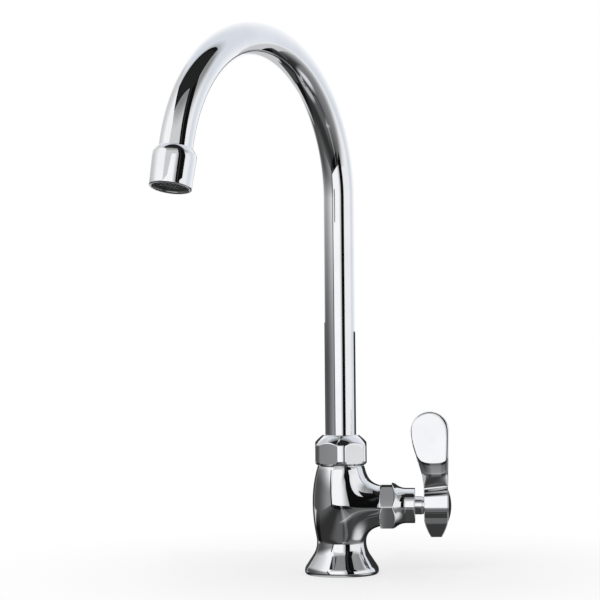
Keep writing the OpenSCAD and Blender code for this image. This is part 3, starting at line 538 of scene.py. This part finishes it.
def makeBonnet(s):
    face, end, sleeve, thread, n = s["face"], s["end"], s["sleeve"], s["threadRadius"], s["hexSteps"]
    corner = s["acrossFlats"] / 2 / math.cos(math.radians(30))
    length = s["neckEnd"] - s["hexEnd"]
    neckRadius = (length ** 2 + (corner - sleeve) ** 2) / (2 * (corner - sleeve))
    neckTurn = math.degrees(math.asin(length / neckRadius))
    outline = [(s["cageRadius"], s["threadEnd"]), (thread - s["threadChamfer"], s["threadEnd"]),
               (thread, s["threadEnd"] + s["threadChamfer"]), (thread, face), (thread + s["relief"], face)]
    outline += [(corner + r, face + z) for r, z in s["faceEdge"]]
    flat = face + s["faceEdge"][-1][1]
    outline += [(corner, flat + i * (s["hexEnd"] - flat) / n) for i in range(1, n)]
    outline += arcPoints(sleeve + neckRadius, s["neckEnd"], neckRadius, 180 + neckTurn, 180, 44)
    outline += [(sleeve, s["neckEnd"] + s["sleeveStep"]), (sleeve, end - s["sleeveStep"])]
    outline += arcPoints(sleeve - s["endRound"], end - s["endRound"], s["endRound"], 0, 90, 4)
    outline += [(s["clipRadius"] + s["clipChamfer"], end), (s["clipRadius"], end - s["clipChamfer"]),
                (s["clipRadius"], end - s["clipDepth"]), (s["bore"], end - s["clipDepth"]),
                (s["bore"], s["cageEnd"]), (s["cageRadius"], s["cageEnd"])]
    bm = turned(outline, s["steps"])
    cutHexagon(bm, s["acrossFlats"], s["turn"], s["soft"], face - 0.01, s["neckEnd"], s["crown"])
    return bm


toPiece(makeBonnet(bonnet), "valveBonnet", "tap", nutChrome, ["bonnet"],
        place=valveAxis, sharp=28)

valveStem = {"radius": 5.75, "start": 14.0, "flangeRadius": 8.84, "flangeEnd": 17.2, "neck": 5.45,
             "neckStart": 51.9, "neckFull": 52.2, "neckEnd": 53.8, "endStart": 54.0, "endRadius": 5.65,
             "broachStart": 55.6, "broachEnd": 63.6, "broachRadius": 4.4, "broachChamfer": 0.4,
             "steps": 96}


def makeStem(s):
    flange, broach, chamfer, end = s["flangeRadius"], s["broachRadius"], s["broachChamfer"], s["broachEnd"]
    outline = [(0, s["start"]), (flange, s["start"]), (flange, s["flangeEnd"]),
               (s["radius"], s["flangeEnd"]), (s["radius"], s["neckStart"]), (s["neck"], s["neckFull"]),
               (s["neck"], s["neckEnd"]), (s["endRadius"], s["endStart"]),
               (s["endRadius"], s["broachStart"]), (broach, s["broachStart"]),
               (broach, end - chamfer), (broach - chamfer, end), (0, end)]
    return turned(outline, s["steps"], closed=False)


toPiece(makeStem(valveStem), "valveStem", "handle", nutChrome, ["valve_stem"],
        place=valveAxis)
print("valve made")

# one casting of blade, hub and tail; heights count from the valve axis, and x runs along it
lever = {
    "valveHeight": 43.5, "hubStart": 53.2, "hubEnd": 68.8, "hubRadius": 10.5, "hubTurn": 36.0,
    "bladeX": 57.4, "bladeTop": 48.5, "bladeRadius": 12.15, "bladeStart": 11.0, "bladeLow": 28.5,
    "bladeStep": 1.0, "tipCut": 0.02, "tipTurn": 7.5, "tipSteps": 12,
    "reach": 9.8, "knee": 30.0, "lean": 2.4, "rootThick": 5.6, "bladeThick": 3.4, "thinning": 1.6,
    # front of the root and of the shoulder, as steps down and their slopes, with a fillet between
    "root": ((1.2, 0.05), (1.5, 0.065), (1.5, 0.08), (1.5, 0.095), (1.4, 0.118), (0.8, 0.20), (0.6, 0.32),
             (0.7, 0.46), (0.8, 0.58), (1.0, 0.66), (1.5, 0.72), (2.3, 0.74)),
    "fillet": 1.7, "filletTurn": -38.0,
    "shoulder": ((1.2, 0.78), (0.8, 0.78), (0.12, 0.2), (0.9, 0.78), (0.7, 0.76), (0.5, 0.62), (0.45, 0.42),
                 (0.6, 0.25), (0.8, 0.13), (1.2, 0.08), (1.6, 0.05), (1.7, 0.03)),
    "backLow": 17.5, "backEnd": 11.5, "backBelly": (0.9, 1.3), "backTurn": 105.0,
    # how much the knee rises at its sides and the shoulder slants, and the heights between which they do
    "kneeLift": 3.0, "kneeSpan": (14, 8, 52, 16), "slant": 0.8, "slantSpan": (4.5, 6, 20, 6),
    "rim": 1.9, "rimDrop": 0.38, "rimPower": 1.5, "edge": 0.5, "edgeDrop": 0.5, "hubEdge": 0.4,
    "hubEdgeDrop": 0.35, "rimStart": 9.0, "rimBlend": 8.0, "sideSlope": 0.25,
    "tailLow": 20.0, "tailStart": 8.0, "tailWidth": 7.0, "tailThick": 6.0, "tailPower": 1.6, "tailSteps": 10,
    "columns": 30}


def leverLimits(z, s):
    # left and right edge of the lever at a height
    mid, r = s["bladeX"], s["bladeRadius"]
    if z > s["bladeTop"]:
        half = math.sqrt(max(0.0, r * r - (z - s["bladeTop"]) ** 2))
        return mid - half, mid + half
    if z > s["bladeStart"]:
        t = ease((z - s["bladeStart"]) / (s["bladeTop"] - s["bladeStart"]))
        return s["hubStart"] + (mid - r - s["hubStart"]) * t, s["hubEnd"] + (mid + r - s["hubEnd"]) * t
    if z < -s["tailStart"]:
        t = min(1.0, (-z - s["tailStart"]) / (s["tailLow"] - s["tailStart"])) ** s["tailPower"]
        inset = (s["hubEnd"] - s["hubStart"] - s["tailWidth"]) / 2 * t
        return s["hubStart"] + inset, s["hubEnd"] - inset
    return s["hubStart"], s["hubEnd"]


def bladeMiddle(z, s):
    if z < s["knee"]:
        return -s["reach"] * math.sin(math.radians(90 * z / s["knee"]))
    return -s["reach"] + s["lean"] * ((z - s["knee"]) / (s["bladeTop"] + s["bladeRadius"] - s["knee"])) ** 2


def bladeThick(z, s):
    top = s["bladeTop"] + s["bladeRadius"]
    return s["rootThick"] + (s["bladeThick"] - s["rootThick"]) * ease(s["thinning"] * z / top)


def bladeHeights(s):
    # close together round the tip, then even steps
    tip = s["bladeTop"] + s["bladeRadius"] - s["tipCut"]
    turns = [math.radians(i * s["tipTurn"]) for i in range(s["tipSteps"])]
    heights = [tip - s["bladeRadius"] * (1 - math.cos(a)) for a in turns]
    while heights[-1] > s["bladeLow"]:
        heights.append(heights[-1] - s["bladeStep"])
    return heights


def leverLevels(s):
    # pairs of (y, z) points, on the front and the back of the lever, from the top to the tail
    levels = []
    for z in bladeHeights(s):
        half = bladeThick(z, s) / 2
        levels.append(((bladeMiddle(z, s) - half, z), (bladeMiddle(z, s) + half, z)))
    y, z = levels[-1][0]
    # front: the blade's root draws in faster and faster, a fillet turns it out to the hub's shoulder
    front = []
    for step, slope in s["root"]:
        y, z = y + slope * step, z - step
        front.append((y, z))
    turn, r = math.atan(s["root"][-1][1]), s["fillet"]
    front += arcPoints(y - r * math.cos(turn), z - r * math.sin(turn), r, math.degrees(turn),
                       s["filletTurn"], 9)[1:]
    y, z = front[-1]
    for step, slope in s["shoulder"]:
        y, z = y - slope * step, z - step
        front.append((y, z))
    front += arcPoints(0, 0, s["hubRadius"], 180, 180 + s["hubTurn"], 8)
    # back: over the hub's top
    back = [(bladeMiddle(z, s) + bladeThick(z, s) / 2, z) for _, z in front if z > s["backLow"]]
    y, z = back[-1]
    first, second = s["backBelly"]
    back += [(y + first * t + second * t * t, z - (z - s["backEnd"]) * t) for t in (0.2, 0.4, 0.6, 0.8, 1.0)]
    back += arcPoints(0, 0, s["hubRadius"], s["backTurn"], -s["hubTurn"], len(front) - len(back) - 1)
    levels += list(zip(front, back))
    yf, zf = front[-1]
    for i in range(1, s["tailSteps"] + 1):
        t = i / s["tailSteps"]
        z = zf + (-s["tailLow"] - zf) * t
        half = -yf + (s["tailThick"] / 2 + yf) * t
        levels.append(((-half, z), (half, z)))
    return levels


def rimDistance(x, z, s):
    # how far a point of the blade lies inside its outline
    left, right = leverLimits(z, s)
    side = min(x - left, right - x) / math.hypot(1, s["sideSlope"])
    if z > s["bladeTop"]:
        side = s["bladeRadius"] - math.hypot(x - s["bladeX"], z - s["bladeTop"])
    return max(0.0, side)


def rimDrop(x, z, s):
    # how far the face lies back near its edge: a dished rim on the blade, a small round on the hub
    inside = rimDistance(x, z, s)
    blade = s["rimDrop"] * (1 - min(1.0, inside / s["rim"])) ** s["rimPower"] \
        + s["edgeDrop"] * max(0.0, 1 - inside / s["edge"]) ** 2
    hub = s["hubEdgeDrop"] * max(0.0, 1 - inside / s["hubEdge"]) ** 2
    share = ease((z - s["rimStart"]) / s["rimBlend"])
    return blade * share + hub * (1 - share)


def makeLever(s):
    n = s["columns"]
    shares = [0.5 - 0.5 * math.cos(math.pi * i / n) for i in range(n + 1)]
    bm = bmesh.new()
    ring = [bm.verts.new((i, 0, 0)) for i in range(2 * (n + 1))]
    edges = [bm.edges.new((a, b)) for a, b in zip(ring, ring[1:] + ring[:1])]
    order = ring
    for level, (front, back) in enumerate(leverLevels(s)):
        if level:
            made, _ = extrudeLoop(bm, edges)
            match = {}
            for v in made:
                for e in v.link_edges:
                    other = e.other_vert(v)
                    if other in order:
                        match[other] = v
            order = [match[v] for v in order]
            edges = [bm.edges.get((a, b)) for a, b in zip(order, order[1:] + order[:1])]
        for i, v in enumerate(order):
            ahead = i <= n
            share = shares[i] if ahead else shares[2 * n + 1 - i]
            y, z = front if ahead else back
            across = 2 * share - 1
            if ahead:
                z += s["kneeLift"] * abs(across) ** 3 * hump(z, *s["kneeSpan"])
                z += s["slant"] * across * hump(z, *s["slantSpan"])
            left, right = leverLimits(z, s)
            x = left + (right - left) * share
            drop = rimDrop(x, z, s)
            v.co = (x, y + drop if ahead else y - drop, z + s["valveHeight"])
        if not level:
            bm.faces.new(order)
    bm.faces.new(order)
    return bm


toPiece(makeLever(lever), "leverHandle", "handle", leverChrome, ["lever"], sharp=50)

indexCap = {"start": 68.8, "radius": 10.1, "dome": 1.99, "plugRadius": 5.26, "plug": 1.0, "lift": 0.02,
            "underside": 0.2, "steps": 96}


def makeCap(s):
    start, radius, dome, seat = s["start"], s["radius"], s["dome"], s["start"] + s["lift"]
    ball = (radius ** 2 + dome ** 2) / (2 * dome)
    turn = math.degrees(math.asin(radius / ball))
    outline = [(0, start - s["plug"]), (s["plugRadius"], start - s["plug"]), (s["plugRadius"], seat),
               (radius - s["underside"], seat)]
    outline += arcPoints(0, start + dome - ball, ball, 90 - turn, 90, 16)
    return turned(outline, s["steps"], closed=False)


toPiece(makeCap(indexCap), "indexCap", "handle", leverChrome, ["index_cap"],
        place=valveAxis)
print("lever made")

# finishes of the CAD pieces that stay
brass = brushed("turnedBrass", {
    "colour": (0.72, 0.52, 0.24), "shade": (0.55, 0.38, 0.17), "rough": 0.25,
    "tarnishScale": 120.0, "markScale": 60.0, "markStretch": (1, 1, 30)})
steel = brushed("brightSteel", {
    "colour": (0.70, 0.70, 0.69), "shade": (0.55, 0.55, 0.54), "rough": 0.22,
    "tarnishScale": 200.0, "markScale": 90.0, "markStretch": (20, 1, 1)})
rubber = moulded("blackRubber", {
    "colour": (0.020, 0.020, 0.021), "shade": (0.035, 0.035, 0.036), "rough": 0.6,
    "mottleScale": 300.0, "grainScale": 2500.0, "grain": 0.4})
whitePlastic = moulded("whitePlastic", {
    "colour": (0.78, 0.78, 0.76), "shade": (0.70, 0.70, 0.68), "rough": 0.4,
    "mottleScale": 200.0, "grainScale": 1800.0, "grain": 0.2})
darkPlastic = moulded("darkPlastic", {
    "colour": (0.035, 0.036, 0.038), "shade": (0.06, 0.061, 0.063), "rough": 0.35,
    "mottleScale": 260.0, "grainScale": 1800.0, "grain": 0.3})
ceramic = moulded("groundCeramic", {
    "colour": (0.80, 0.77, 0.71), "shade": (0.74, 0.71, 0.65), "rough": 0.15,
    "mottleScale": 400.0, "grainScale": 3000.0, "grain": 0.1})

cadFinishes = {
    "base_gasket": rubber, "bonnet_seal": rubber, "stem_seal_outer": rubber, "stem_seal_inner": rubber,
    "ferrule_seal_upper": rubber, "ferrule_seal_lower": rubber, "seat_seal": rubber,
    "aerator_washer": rubber, "slip_ring": whitePlastic, "thrust_washer": whitePlastic,
    "disc_cage": whitePlastic, "aerator_insert": darkPlastic, "aerator_grille": darkPlastic,
    "fixed_disc": ceramic, "moving_disc": ceramic, "spout_ferrule": brass, "outlet_adapter": brass,
    "aerator_screen": steel, "stem_clip": steel, "lever_screw": steel}
for name, material in cadFinishes.items():
    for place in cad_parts[name].material_slots:
        place.material = material
print("CAD pieces finished")


# the studio, in metres: a dark table among pale and dark cards; the chrome shows them, the camera doesn't
def card(name, corners, tone):
    # a glowing sheet; tone is a number, or a function of the sheet's x, y and z
    bm = bmesh.new()
    bm.faces.new([bm.verts.new(c) for c in corners])
    material, tools = newMaterial(name)
    made = toObject(bm, name, material)
    if callable(tone):
        tone = tone(*tools.node("TexCoord", output="Object").parts())
    endShader(tools, tools.node("Emission", None, {"Color": toColour(tone), "Strength": 1.0}))
    made.visible_camera = made.visible_diffuse = made.visible_shadow = False
    made.visible_transmission = made.visible_volume_scatter = False


def uprightCard(name, a, b, low, high, tone):
    card(name, [(*a, low), (*b, low), (*b, high), (*a, high)], tone)


def flatCard(name, left, right, front, back, height, tone):
    corners = [(left, front), (right, front), (right, back), (left, back)]
    card(name, [(*corner, height) for corner in corners], tone)


# pairs are the places where a tone starts and is full; fours are a band's start, full, fade and end
table = {
    "tone": 0.034, "nearY": (-0.60, -0.25), "nearX": (-0.16, -0.04), "near": 0.085,
    "rightX": (0.05, 0.40), "right": 0.10, "farRightX": (0.35, 1.5), "farRight": 0.65,
    # a lane in front of the valve, lighter far out and darker close by
    "laneX": (0.02, 0.05, 0.11, 0.16), "laneFarY": (-0.24, -0.29), "laneFar": 0.12,
    "laneNearY": (-0.30, -0.22), "laneNear": 0.075,
    # a slanting streak, which the belly shows
    "streakY": 0.275, "streakSlope": 0.3, "streakWidth": 0.022, "streakX": (-0.02, 0.05, 0.15, 0.24),
    "streak": 0.22,
    # bands that the lever's hub and tail show
    "underLeverX": (0.046, 0.055, 0.08, 0.09), "hubY": (-0.106, -0.112), "hub": 0.095,
    "tailY": (-0.0845, -0.0825, -0.078, -0.0768), "tail": 0.1,
    # a light patch beside the foot, a dark strip behind the object and a glow round the foot
    "patchAt": (0.17, -0.03), "patchFade": (0.108, 0.03), "patch": 0.6,
    "behindY": (0.04, 0.08), "behindX": (0.62, 0.25), "behind": 0.8,
    "footAt": (0, -0.02), "footFade": (0.11, 0.06), "footX": (0.028, 0.012), "foot": 0.36,
    # the dark front edge, the left side and what lies behind the table
    "edgeY": (-0.59, -0.61), "edgeX": (0.30, 0.24), "edge": 0.85, "edgeUnderLever": 0.6,
    "leftX": (-0.26, -0.56), "left": 0.07, "beyondY": (0.27, 0.31), "beyond": 0.62}


def tableTone(x, y, z):
    s = table
    tone = s["tone"] + y.between(*s["nearY"]) * x.between(*s["nearX"]) * s["near"] \
        + x.between(*s["rightX"]) * s["right"] + x.between(*s["farRightX"]) * s["farRight"]
    lane = y.between(*s["laneFarY"]) * s["laneFar"] - y.between(*s["laneNearY"]) * s["laneNear"]
    tone = tone + x.band(*s["laneX"]) * lane
    across = y + s["streakY"] + x * s["streakSlope"]
    streak = across.band(-s["streakWidth"], 0.0, 0.0, s["streakWidth"])
    tone = tone + streak * x.band(*s["streakX"]) * s["streak"]
    underLever = x.band(*s["underLeverX"])
    slat = y.between(*s["hubY"]) * s["hub"] + y.band(*s["tailY"]) * s["tail"]
    tone = tone.larger(0.0) + underLever * slat
    tone = tone + distance(x, y, s["patchAt"]).between(*s["patchFade"]) * s["patch"]
    behind = y.between(*s["behindY"]) * x.between(*s["behindX"])
    glow = distance(x, y, s["footAt"]).between(*s["footFade"]) * x.between(*s["footX"])
    tone = tone * (1 - behind * s["behind"]) + glow * s["foot"]
    edge = y.between(*s["edgeY"]) * x.between(*s["edgeX"]) * (1 - underLever * s["edgeUnderLever"])
    tone = tone * (1 - edge * s["edge"]) + x.between(*s["leftX"]) * s["left"]
    return tone.larger(y.between(*s["beyondY"]) * s["beyond"])


leftWall = {"tone": 0.085, "frontY": (0.15, -0.55), "front": 0.20, "riseZ": (0.12, 0.47), "rise": 0.50,
            "frontRise": 0.36, "stepZ": (0.10, 0.28), "step": 0.08, "backY": (0.42, 0.86), "back": 0.45}


def leftWallTone(x, y, z):
    s = leftWall
    front = y.between(*s["frontY"])
    tone = z.between(*s["riseZ"]) * (s["rise"] + front * s["frontRise"]) + front * s["front"]
    tone = tone + y.between(*s["backY"]) * s["back"] + s["tone"] + z.between(*s["stepZ"]) * s["step"]
    return tone.smaller(1.0)


# cards whose tone runs across them: the tone at the ends, what is added, and the bands where it is full
frontPanel = {"tone": 0.40, "more": 0.62, "x": (-0.80, -0.58, 0.04, 0.36)}
rightFlag = {"tone": 0.004, "more": 0.03, "x": (0.35, 0.40, 0.42, 0.47), "z": (0.3, 0.5)}
backFlag = {"tone": 0.006, "more": 0.10, "x": (0.19, 0.23)}
ceiling = {"tone": 0.007, "more": 0.012, "x": (-0.78, -0.70, 0.56, 0.64), "y": (-0.08, -0.14)}


def frontPanelTone(x, y, z):
    return frontPanel["tone"] + frontPanel["more"] * x.band(*frontPanel["x"])


def rightFlagTone(x, y, z):
    return rightFlag["tone"] + rightFlag["more"] * x.band(*rightFlag["x"]) * z.between(*rightFlag["z"])


def backFlagTone(x, y, z):
    return backFlag["tone"] + backFlag["more"] * x.between(*backFlag["x"])


def ceilingTone(x, y, z):
    return ceiling["tone"] + ceiling["more"] * x.band(*ceiling["x"]) * y.between(*ceiling["y"])


# a and b are the two ends of an upright card's foot
uprightCards = {
    "leftWall": {"a": (-0.60, -0.78), "b": (-0.60, 0.95), "low": -0.3, "high": 0.95, "tone": leftWallTone},
    "frontPanel": {"a": (-0.76, -0.90), "b": (0.33, -0.90), "low": -0.3, "high": 0.61,
                   "tone": frontPanelTone},
    "rightFlag": {"a": (0.278, -0.773), "b": (0.555, -0.643), "low": -0.3, "high": 1.6,
                  "tone": rightFlagTone},
    "upperFlag": {"a": (0.555, -0.643), "b": (0.72, -0.50), "low": 0.42, "high": 1.6, "tone": 0.006},
    "backFlag": {"a": (0.128, 0.224), "b": (0.235, 0.15), "low": -0.05, "high": 0.155, "tone": backFlagTone},
    "rightEdgeFlag": {"a": (0.030, 0.12), "b": (0.165, 0.12), "low": -0.05, "high": 0.155, "tone": 0.03},
    "leftEdgeFlag": {"a": (-0.025, 0.12), "b": (-0.13, 0.12), "low": -0.05, "high": 0.162, "tone": 0.06}}
flatCards = {
    "table": {"left": -0.62, "right": 2.0, "front": -1.1, "back": 1.6, "height": -0.05, "tone": tableTone},
    "ceilingCard": {"left": -0.80, "right": 0.66, "front": -0.68, "back": -0.06, "height": 1.2,
                    "tone": ceilingTone}}
leaningStrip = {"corners": [(-0.479, -0.623, -0.06), (-0.420, -0.662, -0.06), (-0.552, -0.547, 0.42),
                            (-0.600, -0.508, 0.42)], "tone": 0.006}

for name, s in uprightCards.items():
    uprightCard(name, **s)
for name, s in flatCards.items():
    flatCard(name, **s)
card("leaningStrip", **leaningStrip)

floor = {"half": 6.0, "colour": 0.9, "rough": 0.6, "shadowFade": (0.30, 0.02), "shadow": 0.4}


def makeFloor(s):
    # white to the camera, except near the object, where it also takes a shadow; clear to the chrome
    bm = bmesh.new()
    bmesh.ops.create_grid(bm, x_segments=1, y_segments=1, size=s["half"])
    material, tools = newMaterial("paleFloor")
    made = toObject(bm, "floor", material)
    place = tools.node("TexCoord", output="Object")
    near = tools.node("VectorMath", {"operation": "LENGTH"}, {0: place}, "Value").between(*s["shadowFade"])
    camera = tools.node("LightPath", output="Is Camera Ray")
    glossy = tools.node("LightPath", output="Is Glossy Ray")
    matte = tools.node("BsdfPrincipled", None, {
        "Base Color": toColour(s["colour"]), "Roughness": s["rough"]})
    glow = tools.node("Emission", None, {"Color": toColour(1.0), "Strength": 1.0})
    clear = tools.node("BsdfTransparent")
    pale = tools.node("MixShader", None, {0: camera * (1 - near * s["shadow"]), 1: matte, 2: glow})
    endShader(tools, tools.node("MixShader", None, {0: glossy, 1: pale, 2: clear}))


makeFloor(floor)

# the room round the cards, by direction: pale behind, whiter at the left, greyer high up in front
room = {"frontZ": (0.58, 0.82), "front": (0.66, 0.26), "leftX": (-0.50, -0.68), "left": 1.0,
        "rightZ": (0.28, 0.66), "right": (0.93, 0.26), "rightX": (0.45, 0.80),
        "backY": (0.30, 0.92), "back": ((0.735, 0.765, 0.82), (0.98, 0.99, 1.0)),
        "cornerX": (-0.45, -0.85), "cornerZ": (0.45, 0.15), "corner": (0.58, 0.60, 0.64),
        "sideY": (-0.02, 0.24), "onMatte": 0.75, "toCamera": 1.0}


def makeRoom(s):
    world = bpy.data.worlds.new("studioWorld")
    scene.world = world
    world.use_nodes = True
    world.node_tree.nodes.clear()
    tools = Wire(world.node_tree)
    x, y, z = tools.node("TexCoord", output="Generated").parts()
    front = x.between(*s["leftX"]).blend(z.between(*s["frontZ"]).blend(*s["front"]), s["left"])
    side = x.between(*s["rightX"]).blend(front, z.between(*s["rightZ"]).blend(*s["right"]))
    back = y.between(*s["backY"]).blend(*s["back"])
    back = (x.between(*s["cornerX"]) * z.between(*s["cornerZ"])).blend(back, s["corner"])
    tone = y.between(*s["sideY"]).blend(side, back)
    tone = tools.node("LightPath", output="Is Glossy Ray").blend(s["onMatte"], tone)
    tone = tools.node("LightPath", output="Is Camera Ray").blend(tone, s["toCamera"])
    glow = tools.node("Background", None, {"Color": tone, "Strength": 1.0})
    tools.node("OutputWorld", None, {"Surface": glow})


makeRoom(room)

keyLamp = {"at": (-0.5, -1.1, 1.3), "target": (0, 0, 0.15), "width": 0.7, "height": 0.7, "power": 6.0}


def softLamp(name, s):
    data = bpy.data.lights.new(name, "AREA")
    data.shape = "RECTANGLE"
    data.size, data.size_y, data.energy = s["width"], s["height"], s["power"]
    lamp = bpy.data.objects.new(name, data)
    scene.collection.objects.link(lamp)
    lamp.location = s["at"]
    lamp.rotation_euler = (Vector(s["target"]) - Vector(s["at"])).to_track_quat("-Z", "Y").to_euler()
    lamp.visible_glossy = False


softLamp("keyLamp", keyLamp)

# angles in degrees; the focal length is in the photograph's pixels, of which its width has 600
photoCamera = {"at": (0.0596, -1.2189, 0.1601), "azimuth": 94.0, "up": 0.77, "roll": -0.5,
               "focus": 1887.0, "width": 600.0, "sensor": 36.0, "clip": (0.05, 30.0)}


def makeCamera(s):
    data = bpy.data.cameras.new("photoCamera")
    data.sensor_width = s["sensor"]
    data.lens = s["focus"] / s["width"] * data.sensor_width
    data.clip_start, data.clip_end = s["clip"]
    camera = bpy.data.objects.new("photoCamera", data)
    scene.collection.objects.link(camera)
    azimuth, rise, roll = (math.radians(s[k]) for k in ("azimuth", "up", "roll"))
    ahead = Vector((math.cos(azimuth) * math.cos(rise), math.sin(azimuth) * math.cos(rise), math.sin(rise)))
    level = ahead.cross(Vector((0, 0, 1))).normalized()
    right = level * math.cos(roll) + level.cross(ahead) * math.sin(roll)
    turn = Matrix((right, right.cross(ahead), -ahead)).transposed()
    camera.matrix_world = Matrix.Translation(s["at"]) @ turn.to_4x4()
    scene.camera = camera


makeCamera(photoCamera)
scene.view_settings.view_transform = "Standard"
print("studio made")
